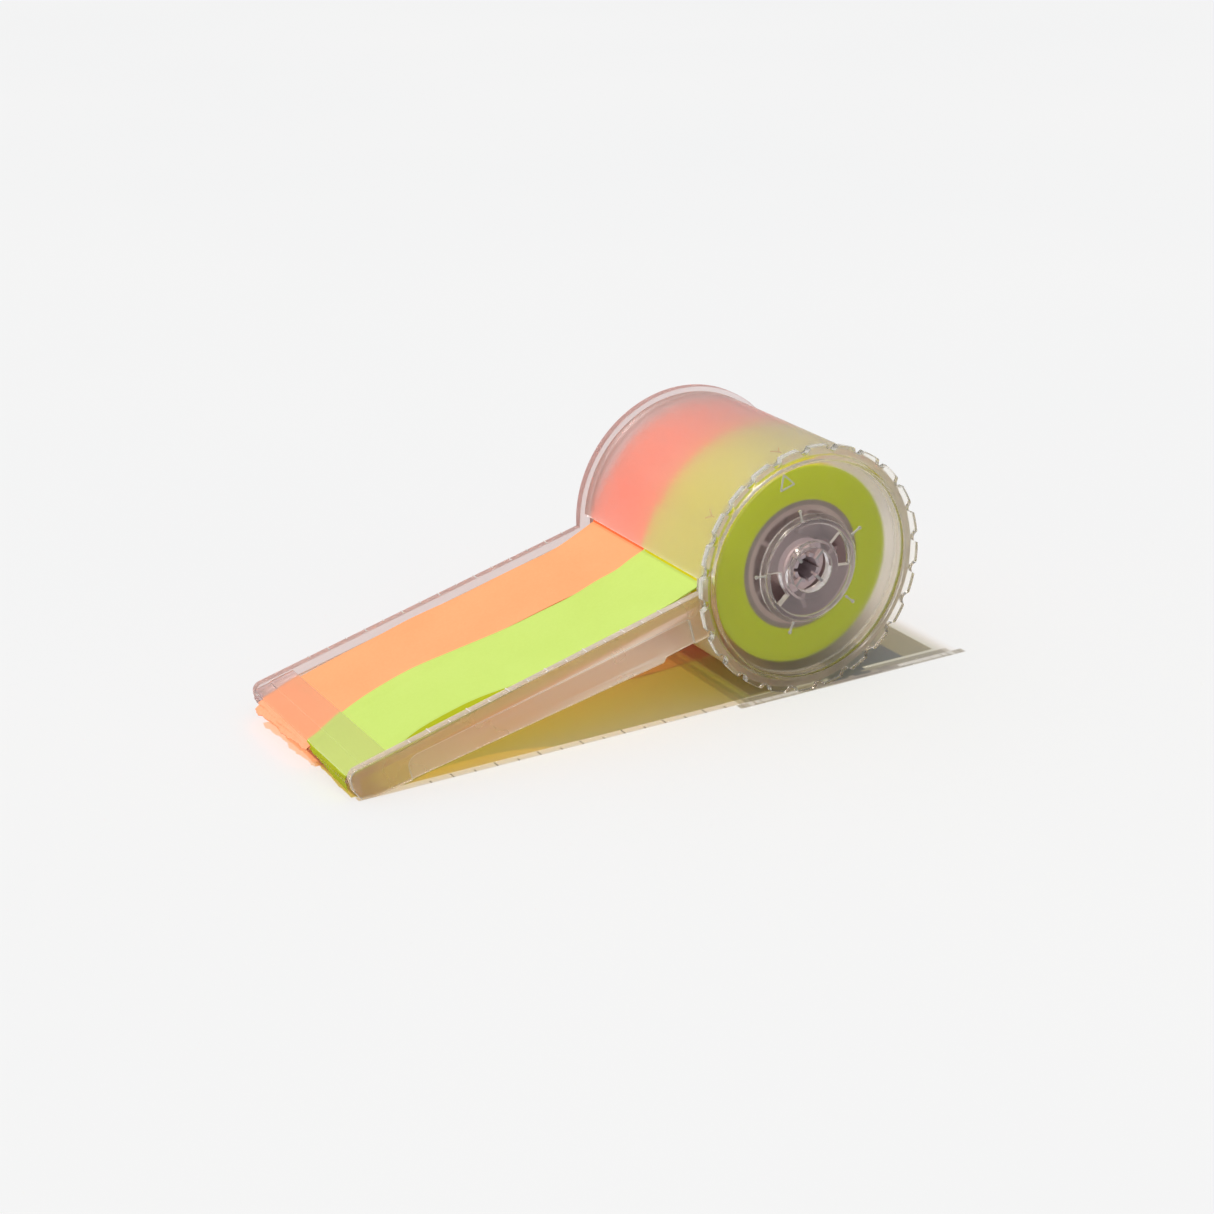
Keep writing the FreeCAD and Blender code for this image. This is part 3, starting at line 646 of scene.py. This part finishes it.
def wall_outline(radius, shallow_end):
    """An arm wall from its rounded nose, which stands on the table, to where it meets the drum,
    in (s, h)."""
    return [
        (-BAR_LENGTH, 0),
        (-BAR_LENGTH, -DEPTH_FRONT * 0.55),
        (FRONT_FOOT, table(FRONT_FOOT)),
        (BACK_FOOT, table(BACK_FOOT)),
        (0, -DEPTH_FRONT),
        (STEP_PLACE, -DEPTH_BACK),
        (STEP_PLACE + STEP, -DEPTH_BACK + STEP),
        (circle_reach(radius, -DEPTH_BACK + STEP), -DEPTH_BACK + STEP),
        *shallow_end,
        (circle_reach(radius, 0), 0),
    ]


def make_far_plate():
    """The far disc and wall: the wall's outline, then the long way round the disc from its
    underside to its top."""
    corners = wall_outline(PLATE_RADIUS, [])
    low, high = sh_to_xz(corners[-2:])
    start = math.atan2(low[1] - AXIS[2], low[0] - AXIS[0])
    end = math.atan2(high[1] - AXIS[2], high[0] - AXIS[0])
    start, end = start % (2 * math.pi), end % (2 * math.pi)
    sweep = (2 * math.pi - start + end) % (2 * math.pi)
    angles = start + np.linspace(0, 1, 220) * sweep
    disc = np.column_stack([AXIS[0] + PLATE_RADIUS * np.cos(angles),
                            AXIS[2] + PLATE_RADIUS * np.sin(angles)])
    outline = rounded(np.concatenate([sh_to_xz(corners[:-2]), disc]),
                      WALL_ROUNDING[:7] + [0] * len(disc), 6)
    plate = slab("far_plate", outline, INNER_FAR, FAR_Y, 0.25, rail_plastic, "case",
                 "case_plastic",
                 ["far_side_plate"])
    edge_faces(plate, rim_plastic)
    ring_out = SHELL_BORE - 0.1
    turned("far_plate_ring",
           rounded([(ring_out - 1.2, INNER_FAR), (ring_out - 1.2, INNER_FAR - 1.6),
                                      (ring_out, INNER_FAR - 1.6),
                                      (ring_out, INNER_FAR)], [0, 0.2, 0.2, 0], 2),
           rail_plastic, "case", "case_plastic")


def make_near_wall():
    """The near wall, with a shallow panel sunk into its outer face that runs out at its lower
    edge."""
    outer, inner = NEAR_Y, INNER_NEAR
    heights = np.linspace(-DEPTH_BACK + STEP, 0, 12)[1:-1]
    arc = [(circle_reach(SHELL_RADIUS, h), h) for h in heights]
    corners = sh_to_xz(wall_outline(SHELL_RADIUS, arc))
    outline = rounded(corners, WALL_ROUNDING + [0] * (len(corners) - len(WALL_ROUNDING)), 6)
    wall = make_piece("near_wall", *prism(outline, outer, inner), wall_plastic, "case",
                      "case_plastic",
                      replaces=["near_arm_wall"])
    panel_corners = [(PANEL_FRONT, PANEL_TOP_FRONT), (PANEL_FRONT, BELOW_WALL),
                     (PANEL_BACK, BELOW_WALL), (PANEL_BACK, PANEL_TOP_BACK)]
    panel = rounded(sh_to_xz(panel_corners), [2.5, 0, 0, 0.6], 5)
    cut_with(wall, [loose(*prism(panel, outer - 1, outer + PANEL_DEPTH))], bevel=0.22)
    # painted highlight: the wall's edge faces take the lighter edge plastic
    edge_faces(wall, edge_highlight_plastic)
    # painted highlight: the milky highlight plastic goes on the nose's rounded edges and on the
    # edges round the sunk panel
    wall.data.materials.append(highlight_plastic)
    wall.data.materials.append(panel_plastic)
    plain, painted_highlight, sunk = 0, 2, 3
    for face in wall.data.polygons:
        x, y, z = face.center / MM
        s, h = arm_sh(x, z)
        flat = abs(face.normal.y) >= FLAT_FACE
        standing = abs(face.normal.y) < STANDING_FACE
        at_nose = s < -6
        round_panel = s > 2 and h < -2.5 and y < outer + PANEL_DEPTH + 0.1 and in_panel(s, h)
        if at_nose and h < -1.6 and standing:
            face.material_index = plain
        elif flat and outer + 0.3 < y < outer + PANEL_DEPTH + 0.1:
            face.material_index = sunk
        elif at_nose and not flat and not standing or round_panel and not flat:
            face.material_index = painted_highlight


def in_panel(s, h):
    """Whether a place on the near wall lies round the sunk panel rather than at the wall's own
    edges."""
    lower_edge = -DEPTH_FRONT - (DEPTH_BACK - DEPTH_FRONT) * min(1, s / STEP_PLACE)
    return PANEL_FRONT - 0.4 < s < PANEL_BACK + 0.5 and h > lower_edge + 0.5


def make_bed():
    """The channel's floor with its turned-down nose, ending against the drum."""
    nose, foot = FRONT_FOOT, table(FRONT_FOOT) + 0.6
    under = -(BED_DROP + BED_THICK)
    ends = [(circle_reach(SHELL_RADIUS, h), h) for h in np.linspace(under, -BED_DROP, 5)]
    corners = [(nose, -BED_DROP), (nose, foot), (nose + NOSE_THICK, foot),
               (nose + NOSE_THICK, under), *ends]
    outline = rounded(sh_to_xz(corners), [0.5, 0.3, 0.3, 0.6] + [0] * len(ends))
    slab("channel_floor", outline, INNER_NEAR + GAP, INNER_FAR - GAP, 0.1, floor_plastic, "case",
         "case_plastic", ["arm_bed"])


def make_front_bar():
    """The strap over the tapes between the walls, stepped down towards its front."""
    corners = [(0, -0.3), (-6.1, -0.3), (-6.3, -0.55), (-BAR_LENGTH, -0.55), (-BAR_LENGTH, -1.4),
               (0, -1.4)]
    outline = rounded(sh_to_xz(corners), [0.12, 0, 0, 0.2, 0.15, 0.12], 3)
    slab("tip_bar", outline, INNER_NEAR + GAP, INNER_FAR - GAP, 0.05, bar_plastic, "case",
         "clear_plastic",
         ["front_bar"])


def make_shell():
    """The tube: a grid of turning angle and y without the slot, thickened inwards with rounded
    rims."""
    slot_start, slot_end = math.radians(LIP_ANGLE), math.radians(LIP_ANGLE + SLOT_ANGLE)
    angles = np.concatenate([np.linspace(slot_start, slot_end, 9)[:-1],
                             slot_end + np.linspace(0, 2 * math.pi - math.radians(SLOT_ANGLE),
                                                    232)[:-1]])
    levels = np.concatenate([[NEAR_Y], np.linspace(INNER_NEAR, INNER_FAR, 12)])
    points = drum_points(SHELL_RADIUS, angles[:, None], levels[None])
    quads = grid_faces(len(angles), len(levels), True)
    columns = len(levels) - 1
    kept = [q for n, q in enumerate(quads) if not (n // columns < 8 and n % columns > 0)]
    shell = make_piece("drum_tube", points, kept, drum_plastic, "case", "case_plastic",
                       replaces=["drum_shell"])
    flip_outwards(shell)
    thick = shell.modifiers.new("wall", "SOLIDIFY")
    thick.thickness = SHELL_WALL * MM
    thick.offset = -1
    add_bevel(shell, 0.22)
    apply_modifiers(shell)
    shade(shell)


def surface_line(start, end, width, rise):
    """A straight raised line on the tube between two places (distance round it, y), as an
    eight-cornered block."""
    start, end = np.array(start, float), np.array(end, float)
    along = (end - start) / np.linalg.norm(end - start)
    side = np.array([-along[1], along[0]]) * width / 2
    corners = np.array([start - side, end - side, end + side, start + side])
    points = [drum_points(radius, corners[:, 0] / SHELL_RADIUS, corners[:, 1])
              for radius in (SHELL_RADIUS - 0.05, SHELL_RADIUS + rise)]
    return np.concatenate(points), [[0, 1, 2, 3], [7, 6, 5, 4], [0, 4, 5, 1], [1, 5, 6, 2],
                                    [2, 6, 7, 3], [3, 7, 4, 0]]


def make_drum_marks():
    """Two small moulded chevrons beside the cap that its arrow is turned to."""
    for index, turn in enumerate(MARK_TURNS):
        place = math.radians(turn) * SHELL_RADIUS
        tip = (place, NEAR_Y + 3.4)
        arms = [((place + 1.15, NEAR_Y + 5.2), tip), ((place - 1.15, NEAR_Y + 5.2), tip),
                (tip, (place, NEAR_Y + 2.3))]
        parts = [surface_line(a, b, 0.2, 0.14) for a, b in arms]
        make_piece(f"drum_mark_{index + 1}", *joined(parts), rim_plastic, "case", "case_plastic")


def flip_outwards(piece):
    """Turns the faces of an open surface round the drum axis so that they face away from it."""
    mesh = piece.data
    face = mesh.polygons[len(mesh.polygons) // 2]
    away = Vector((face.center[0] - AXIS[0] * MM, 0, face.center[2] - AXIS[2] * MM))
    if face.normal.dot(away) < 0:
        mesh.flip_normals()


# ---- reels and tapes ----
def make_rolls():
    """Each wound roll as a turned ring with softly rounded edges."""
    for colour, low, high, wound in (("yellow", roll_low[1], roll_high[1], yellow_wound),
                                     ("orange", orange_low[1], orange_high[1], orange_wound)):
        corners = [(CORE_RADIUS + 0.02, low), (ROLL_RADIUS, low), (ROLL_RADIUS, high),
                   (CORE_RADIUS + 0.02, high)]
        roll = turned(f"{colour}_roll", rounded(corners, [0, 0.25, 0.25, 0], 3), wound,
                      f"{colour}_reel",
                      f"{colour}_paper", replaces=[f"{colour}_tape_roll"])
        # painted light: the yellow roll's side faces take the brighter copy of its paper
        if colour == "yellow":
            roll.data.materials.append(yellow_side_painted_light)
            for face in roll.data.polygons:
                face.material_index = int(abs(face.normal.y) > 0.5)


def tape_line():
    """Places (x, z) along a loose tape's underside-to-top middle line, from the roll, out by the
    slot and down the arm."""
    through = math.radians(LIP_ANGLE + 3.3)
    reach = SHELL_BORE - TAPE_THICK / 2
    leave = through - math.acos((ROLL_RADIUS + 0.45) / reach)
    inside = [((ROLL_RADIUS + 0.45) * math.cos(leave), (ROLL_RADIUS + 0.45) * math.sin(leave)),
              (reach * math.cos(through), reach * math.sin(through))]
    inside = np.array(inside) + AXIS[[0, 2]]
    share = np.linspace(0, 1, STRIP_STEPS)[:-1, None]
    first = inside[0] * (1 - share) + inside[1] * share
    s0, h0 = arm_sh(*inside[1])
    s = np.linspace(s0, -BAR_LENGTH, 90)
    h = smooth_line([-BAR_LENGTH, -4, 0, 20, 40, 60, 72, s0],
                    [TAPE_H, TAPE_H, TAPE_H, -1.2, -0.85, -0.5, -0.25, h0], s)
    return np.concatenate([first, sh_to_xz(np.column_stack([s, h]))]), s


def ragged(seed, y, sizes):
    """A torn line: sums of steps and waves of several widths, each scaled and shifted by its own
    number."""
    rng = np.random.default_rng(seed)
    total = np.zeros_like(y)
    for width, depth in sizes:
        knots = np.arange(y.min() - width, y.max() + 2 * width, width)
        total += depth * np.interp(y, knots, rng.uniform(-1, 1, len(knots)))
    return total


def make_tail(colour, material, near_edge, far_edge, end_place, lift, replaces, name, droop,
              start_row=0, layer=0.0):
    """A loose tape as a thin closed sheet: stations along its line, each a flat loop across,
    ending on a torn line."""
    line, s = tape_line()
    columns = 101
    across = np.linspace(0, 1, columns)
    first = len(line) - len(s)
    station_s = np.concatenate([np.linspace(s[0] + 8, s[0], first + 1)[:-1], s])
    ahead = np.gradient(line, axis=0)
    ahead /= np.linalg.norm(ahead, axis=1, keepdims=True)
    up = np.column_stack([ahead[:, 1], -ahead[:, 0]])
    up *= np.sign(up @ np.array([-0.3, 1.0]))[:, None]
    near, far = near_edge(station_s), far_edge(station_s)
    fold = np.maximum(crease(station_s),
                      near + 0.04) if colour == "yellow" else near + (far - near) * EDGE_SHARE
    y = np.where(across < EDGE_SHARE, near[:, None] + (fold - near)[:, None] * across / EDGE_SHARE,
                 fold[:, None] + (far - fold)[:, None] * (across - EDGE_SHARE) / (1 - EDGE_SHARE))
    raise_by = lift(station_s[:, None], y) + layer
    middle = line[:, None, :] + up[:, None, :] * raise_by[..., None]
    end_y = y[-1]
    torn = end_place(end_y)
    steps = np.linspace(0, 1, STRIP_STEPS)[1:, None]
    out_s = -BAR_LENGTH + (torn + BAR_LENGTH) * steps
    out_h = TAPE_H + raise_by[-1] - droop(end_y)[None] * steps ** 2
    out = arm_points(out_s, 0.0, out_h)[..., [0, 2]]
    middle = np.concatenate([middle, out])[start_row:]
    y = np.concatenate([y, np.broadcast_to(end_y, out_s.shape)])[start_row:]
    up = np.concatenate([up, np.broadcast_to(up[-1], (len(steps), 2))])[start_row:]
    half = TAPE_THICK / 2
    top, low = middle + up[:, None] * half, middle - up[:, None] * half
    loop = np.concatenate([top, low[:, ::-1]], axis=1)
    loop_y = np.concatenate([y, y[:, ::-1]], axis=1)
    points = np.stack([loop[..., 0], loop_y, loop[..., 1]], axis=-1)
    rows, loop_count = points.shape[:2]
    faces = grid_faces(rows, loop_count, False, True)
    faces += end_strip(0, loop_count) + end_strip((rows - 1) * loop_count, loop_count)
    tail = make_piece(name, points, faces, material, "case", f"{colour}_paper", 50.0, replaces)
    inner = orange_wound if colour == "orange" else yellow_wound
    tail.data.materials.append(inner)
    tail.data.materials.append(yellow_painted_shade if colour == "yellow" else orange_torn)
    for face in tail.data.polygons:
        x, y, z = face.center / MM
        s = arm_sh(x, z)[0]
        if math.hypot(x - AXIS[0], z - AXIS[2]) < SHELL_BORE - 0.02 and s > 60:
            face.material_index = 1
        # painted shade: the yellow tape's turned-down near edge and the steep faces at its torn
        # end take the darker yellow
        elif colour == "yellow" and (s < -9.9 and abs(face.normal.z) < 0.8 or y < crease(s)):
            face.material_index = 2
        elif colour == "orange" and s < -10.2:
            face.material_index = 2
    return tail


SEAM_PLACES = [-14, -9.8, 0.5, 7, 13, 19, 31, 43, 53, 62, 69, 74, 78, 86]
SEAM = [-5.6, -5.3, -1.0, 0.9, 1.8, 2.1, 0.4, -1.4, -1.9, -2.2, -1.4, -1.4, -0.6, 0.0]


def seam(s):
    """Where the yellow tape's far edge lies across the orange one."""
    return MIDDLE_Y + smooth_line(SEAM_PLACES, SEAM, s)


def crease(s):
    """Where the yellow tape's near edge turns down towards the channel's floor."""
    drawn_in = smooth_line([-14, 0, 8, 18, 28, 34, 38, 90],
                           [-3, -0.5, 1.0, 0.9, 0.7, -0.6, -3, -3],
                           s)
    return seam(s) - TAPE_WIDTH + drawn_in


def end_strip(start, count):
    """Quads that close the end of a flat loop."""
    half = count // 2
    return [[start + i, start + i + 1, start + count - 2 - i, start + count - 1 - i]
            for i in range(half - 1)]


def make_tails():
    """Both loose tapes, each with a torn lower ply under its end."""
    far_knots = [-14, -10, 1, 10, 21, 30, 43, 56, 70, 77, 86]
    far_values = [21.5, 21.5, 23.5, 24.0, 24.1, 24.4, 23.3, 23.1, 22.6, 23.6, 25.1]

    def orange_far(s):
        return MIDDLE_Y + smooth_line(far_knots, far_values, s)

    def under_bar(s):
        return smooth_line([-14, -9.8, 0.5, 8, 90], [4.4, 4.1, 0.6, 0.0, 0.0], s)

    def orange_near(s):
        return orange_far(s) - TAPE_WIDTH - under_bar(s) * 0.9

    def yellow_near(s):
        return np.clip(seam(s) - TAPE_WIDTH, INNER_NEAR + 0.1, INNER_NEAR + 0.25)

    def flat(s, y):
        return 0 * s * y

    def over_orange(s, y):
        near_seam = np.clip((y - (orange_near(s) - 2.0)) / 2.5, 0, 1)
        edge = np.clip((crease(s) + 0.4 - y) / 0.7, 0, 1)
        return 0.36 * near_seam ** 2 * (3 - 2 * near_seam) - 0.3 * edge

    def orange_end(y):
        return -11.4 + ragged(3, y, [(5.2, 0.2), (1.7, 0.15), (0.6, 0.12)])

    def orange_low_end(y):
        return -12.2 - 0.7 * (y - seam(-10)) / TAPE_WIDTH + ragged(13, y, [(4.2, 0.3), (1.4, 0.25),
                                                                           (0.5, 0.14)])

    def yellow_end(y):
        return -10.45 + ragged(8, y, [(4.1, 0.15), (1.3, 0.15), (0.5, 0.08)])

    def yellow_low_end(y):
        return -10.9 + ragged(18, y, [(4.1, 0.15), (1.3, 0.1)])

    make_tail("orange", orange_paper, orange_near, orange_far, orange_end, flat,
              ["orange_tape_tail"], "orange_tail",
              lambda y: 0.4 + ragged(5, y, [(4.0, 0.2)]))
    make_tail("orange", orange_paper, orange_near, lambda s: orange_far(s) - 0.5, orange_low_end,
              flat, [],
              "orange_tail_ply",
              lambda y: 0.1 + 0.5 * (y - seam(-10)) / TAPE_WIDTH + ragged(15, y, [(3.0, 0.12)]),
              start_row=PLY_START, layer=-0.34)
    make_tail("yellow", yellow_paper, yellow_near, seam, yellow_end, over_orange,
              ["yellow_tape_tail"], "yellow_tail",
              lambda y: 0.3 + ragged(6, y, [(4.0, 0.15)]))
    # painted shade: the hanging yellow ply is all darker yellow
    make_tail("yellow", yellow_painted_shade, lambda s: yellow_near(s) + 0.3, lambda s: seam(s) + 0.4,
              yellow_low_end, flat, [],
              "yellow_tail_ply", lambda y: 0.2 + 0.16 * (seam(-10.3) - y), start_row=PLY_START,
              layer=-0.36)


# ---- the cap ----
def notch_limit(theta):
    """The rim's outer radius by angle: round scoops whose centres lie just outside the rim."""
    pitch = 2 * math.pi / NOTCHES
    away = (theta - math.radians(NOTCH_TURN) + pitch / 2) % pitch - pitch / 2
    radius, centre = 1.4, CAP_RADIUS + 0.15
    side = np.abs(centre * np.sin(away))
    bite = centre * np.cos(away) - np.sqrt(np.maximum(0, radius ** 2 - side ** 2))
    return np.where(side < radius, np.minimum(bite, CAP_RADIUS), CAP_RADIUS)


def make_cap():
    """The cap's profile carried round, its rim pulled in at each notch, with a skirt behind."""
    bore, skirt = HUB_RADIUS + 0.05, SHELL_BORE - 0.25
    corners = [
        (bore, CAP_BACK), (skirt - SKIRT_WALL, CAP_BACK),
        (skirt - SKIRT_WALL, CAP_BACK + SKIRT_DEPTH),
        (skirt, CAP_BACK + SKIRT_DEPTH),
        (skirt, CAP_BACK), (CAP_RADIUS, CAP_BACK), (CAP_RADIUS, CAP_FRONT),
        (FACE_RADIUS, CAP_FRONT),
        (FACE_RADIUS - 0.3, FACE_FRONT), (bore, FACE_FRONT),
    ]
    profile = rounded(corners, [0.15, 0.2, 0.2, 0.2, 0.1, 0.3, 0.45, 0.4, 0.5, 0.15], 4)

    def scooped(radius, theta):
        limit = notch_limit(theta)
        return np.where(radius > FACE_RADIUS + 1.6,
                        np.minimum(radius, limit - (CAP_RADIUS - radius) * 0.6), radius)

    turned("cap", profile, cap_plastic, "cap", "clear_plastic", NOTCHES * 36, ["side_cap"],
           scooped)
    for index in range(SPOKES):
        make_spoke(index, math.radians(SPOKE_TURN + 360 / SPOKES * index))
    make_arrow()


def polar_xz(r, side, angle):
    """(x, z) of a place at distance r out along a ray and side across it."""
    c, s = math.cos(angle), math.sin(angle)
    return np.column_stack([AXIS[0] + r * c - side * s, AXIS[2] + r * s + side * c])


def make_spoke(index, angle):
    """A thin raised rib along a ray with a small round boss at each end."""
    outline = [(HUB_RADIUS + 0.45, 0.2), (HUB_RADIUS + 3.0, 0.2), (HUB_RADIUS + 3.0, -0.2),
               (HUB_RADIUS + 0.45, -0.2)]
    r, side = np.array(outline).T
    parts = [slab_parts(polar_xz(r, side, angle), FACE_FRONT - 0.4, FACE_FRONT + 0.02, 0.08)]
    turn = np.linspace(0, 2 * math.pi, 17)[:-1]
    for place, radius in ((HUB_RADIUS + 3.1, 0.42), (HUB_RADIUS + 0.75, 0.34)):
        parts.append(slab_parts(polar_xz(place + radius * np.cos(turn), radius * np.sin(turn),
                                         angle),
                                FACE_FRONT - 0.5, FACE_FRONT + 0.02, 0.12))
    # painted highlight: the spoke takes the milky highlight plastic
    make_piece(f"cap_spoke_{index + 1}", *joined(parts), highlight_plastic, "cap", "clear_plastic")


def ring_prism(outer, inner, low_y, high_y):
    """A closed frame between two outlines with as many corners, from one y to another."""
    levels = [(outer, low_y), (outer, high_y), (inner, high_y), (inner, low_y)]
    points = np.stack([np.column_stack([o[:, 0], np.full(len(o), y), o[:, 1]]) for o, y in levels])
    return points, grid_faces(4, len(outer), True, True)


def make_arrow():
    """The cap's arrow: an open triangle with rounded corners, pointing outwards."""
    angle = math.radians(ARROW_TURN)
    tip, base, half = FACE_RADIUS - 0.2, FACE_RADIUS - 4.1, 2.15
    outer = polar_xz(*rounded([(tip, 0), (base, half), (base, -half)], 0.25, 3).T, angle)
    inner = polar_xz(*rounded([(tip - 0.72, 0), (base + 0.3, half - 0.5),
                               (base + 0.3, -half + 0.5)], 0.12, 3).T, angle)
    # painted highlight: the arrow takes the milky highlight plastic
    make_piece("cap_arrow", *ring_prism(outer, inner, FACE_FRONT - 0.3, FACE_FRONT + 0.02),
               highlight_plastic, "cap",
               "clear_plastic")


def sector(low_r, high_r, start, sweep, low_y, high_y):
    """A closed piece of a ring between two radii, two angles and two y."""
    turn = np.linspace(start, start + sweep, 24)
    outline = np.concatenate([
        np.column_stack([AXIS[0] + high_r * np.cos(turn), AXIS[2] + high_r * np.sin(turn)]),
        np.column_stack([AXIS[0] + low_r * np.cos(turn[::-1]),
                         AXIS[2] + low_r * np.sin(turn[::-1])]),
    ])
    return prism(outline, low_y, high_y)


def paint_hub_highlights(piece):
    """Painted highlights: gives the walls of the windows, and on the lower right the walls of the
    bore and the disc's rim, the milky highlight plastic.
    """
    piece.data.materials.append(highlight_plastic)
    for face in piece.data.polygons:
        x, y, z = face.center / MM
        radius = math.hypot(x - AXIS[0], z - AXIS[2])
        # painted highlight: the bore and the rim get it only on their lower right, where the
        # highlights fall
        lower_right = (x - AXIS[0]) * 0.85 - (z - AXIS[2]) * 0.53 > 0.1 * radius
        at_bore = radius < HUB_BORE + 0.5 and lower_right
        at_windows = WINDOW_IN - 0.2 < radius < WINDOW_OUT + 0.2
        at_rim = radius > HUB_RADIUS - 0.15 and lower_right
        lined = at_bore or at_windows or at_rim
        if abs(face.normal.y) < 0.6 and y < FACE_FRONT + 0.9 and lined:
            face.material_index = 1


def make_hub():
    """The hub disc with its two windows and raised boss, four fins inside the boss and four legs
    behind."""
    back = CAP_BACK + 0.8
    corners = [
        (HUB_BORE, back), (HUB_RADIUS + 1.1, back), (HUB_RADIUS + 1.1, CAP_BACK + 0.1),
        (HUB_RADIUS, CAP_BACK + 0.1),
        (HUB_RADIUS, FACE_FRONT - 0.15), (HUB_RADIUS - 0.9, FACE_FRONT - 0.15),
        (HUB_RADIUS - 1.2, FACE_FRONT + 0.35),
        (7.2, FACE_FRONT + 0.35), (6.9, FACE_FRONT - 0.5), (HUB_BORE, FACE_FRONT - 0.5),
    ]
    profile = rounded(corners, [0.1, 0.2, 0.1, 0.1, 0.25, 0.25, 0.2, 0.2, 0.25, 0.25], 3)
    disc = turned("hub_disc", profile, hub_plastic, "hub", "hub_plastic", 160, ["cap_hub"])
    cutters = [loose(*sector(WINDOW_IN, WINDOW_OUT, math.radians(WINDOW_START + half),
                             math.radians(WINDOW_SWEEP), FACE_FRONT - 1,
                             back + 1)) for half in (0, 180)]
    cut_with(disc, cutters, bevel=0.1, segments=1)
    paint_hub_highlights(disc)
    leg_out, leg_in = 3.55, 2.65
    sleeve_front = back - 0.4
    for index in range(4):
        turn = math.radians(90 * index)
        gap = math.asin(0.45 / 3.1)
        leg = sector(leg_in, leg_out, turn + gap, math.pi / 2 - 2 * gap, sleeve_front,
                     sleeve_front + 8.5)
        r, side = np.array([(leg_in + 0.1, 0.35), (5.4, 0.35), (5.4, -0.35),
                            (leg_in + 0.1, -0.35)]).T
        fin = slab_parts(polar_xz(r, side, turn + math.pi / 4), sleeve_front - 0.9, back, 0.08)
        part = make_piece(f"hub_leg_{index + 1}", *joined([leg, fin]), leg_plastic, "hub",
                          "hub_plastic")
        # painted highlight: the front ends of the fins take the milky highlight plastic
        part.data.materials.append(highlight_plastic)
        for face in part.data.polygons:
            face.material_index = int(face.center.y / MM < sleeve_front - 0.85)


# ---- stage ----
SUN_HEIGHT = 67
CAMERA_ANGLES = (-28.97, 21.48, -1.28)  # turn, height and roll, in degrees
CAMERA_STAND = np.array([-284.74, 1.2 - 446.67, 189.74])  # from the drum axis
CAMERA_LENS = 69.2


def make_floor():
    """A plain pale table, far larger than the dispenser."""
    size = 5000.0
    made, tree = new_material("floor")
    tone = colours(tree, noise(tree, 3.0, 2.0), (0.3, (0.885, 0.893, 0.902)),
                   (0.7, (0.897, 0.902, 0.908)))
    fine = noise(tree, 700.0)
    normal = add(tree, "ShaderNodeBump", Strength=0.03, Distance=0.0002, Height=fine).outputs[0]
    body = add(tree, "ShaderNodeBsdfPrincipled", Base_Color=tone, Roughness=0.9, Normal=normal)
    body.inputs["Specular IOR Level"].default_value = 0.1
    add(tree, "ShaderNodeOutputMaterial", Surface=body.outputs[0])
    mesh = bpy.data.meshes.new("floor")
    corners = np.array([(-1, -1, 0), (1, -1, 0), (1, 1, 0), (-1, 1, 0)]) * size * MM
    mesh.from_pydata(corners.tolist(), [], [(0, 1, 2, 3)])
    floor = bpy.data.objects.new("floor", mesh)
    mesh.materials.append(made)
    bpy.context.scene.collection.objects.link(floor)


def make_light():
    """A pale sky and one sun that travels towards +X, high enough for a short shadow."""
    world = bpy.data.worlds.new("sky")
    world.use_nodes = True
    back = world.node_tree.nodes["Background"]
    back.inputs["Color"].default_value = (0.965, 0.985, 1.012, 1.0)
    back.inputs["Strength"].default_value = 0.27
    bpy.context.scene.world = world
    lamp = bpy.data.lights.new("sun", "SUN")
    lamp.energy = 2.62
    lamp.angle = math.radians(0.7)
    lamp.color = (1.0, 0.985, 0.965)
    sun = bpy.data.objects.new("sun", lamp)
    high = math.radians(SUN_HEIGHT)
    sun.rotation_euler = Vector((math.cos(high), 0,
                                 -math.sin(high))).to_track_quat("-Z", "Y").to_euler()
    sun.location = (-0.5, 0, 1.5)
    bpy.context.scene.collection.objects.link(sun)


def make_camera():
    """A camera before the cap and left of it, looking down on the dispenser."""
    turn, high, roll = (math.radians(angle) for angle in CAMERA_ANGLES)
    back = Vector((math.sin(turn) * math.cos(high), -math.cos(turn) * math.cos(high),
                   math.sin(high)))
    right = Vector((math.cos(turn), math.sin(turn), 0))
    up = back.cross(right)
    rolled_right = right * math.cos(roll) + up * math.sin(roll)
    rolled_up = up * math.cos(roll) - right * math.sin(roll)
    place = Matrix((rolled_right, rolled_up, back)).transposed().to_4x4()
    place.translation = Vector(AXIS + CAMERA_STAND) * MM
    data = bpy.data.cameras.new("camera")
    data.lens = CAMERA_LENS
    data.sensor_width = 36.0
    data.clip_start, data.clip_end = 0.01, 50.0
    camera = bpy.data.objects.new("camera", data)
    camera.matrix_world = place
    bpy.context.scene.collection.objects.link(camera)
    bpy.context.scene.camera = camera


make_far_plate()
make_near_wall()
make_bed()
make_front_bar()
make_shell()
make_drum_marks()
make_rolls()
make_tails()
make_cap()
make_hub()
paint("tear_comb", bar_plastic)
paint("far_scale_ticks", mark_plastic)
paint("near_scale_ticks", mark_plastic)
paint("spindle", reel_plastic)
for colour in ("yellow", "orange"):
    paint(f"{colour}_reel_bush", reel_plastic)
    paint(f"{colour}_roll_core", core_card)

make_floor()
make_light()
make_camera()
scene = bpy.context.scene
scene.view_settings.view_transform = "Standard"
scene.cycles.transparent_max_bounces = 32
scene.cycles.transmission_bounces = 16
scene.cycles.max_bounces = 20
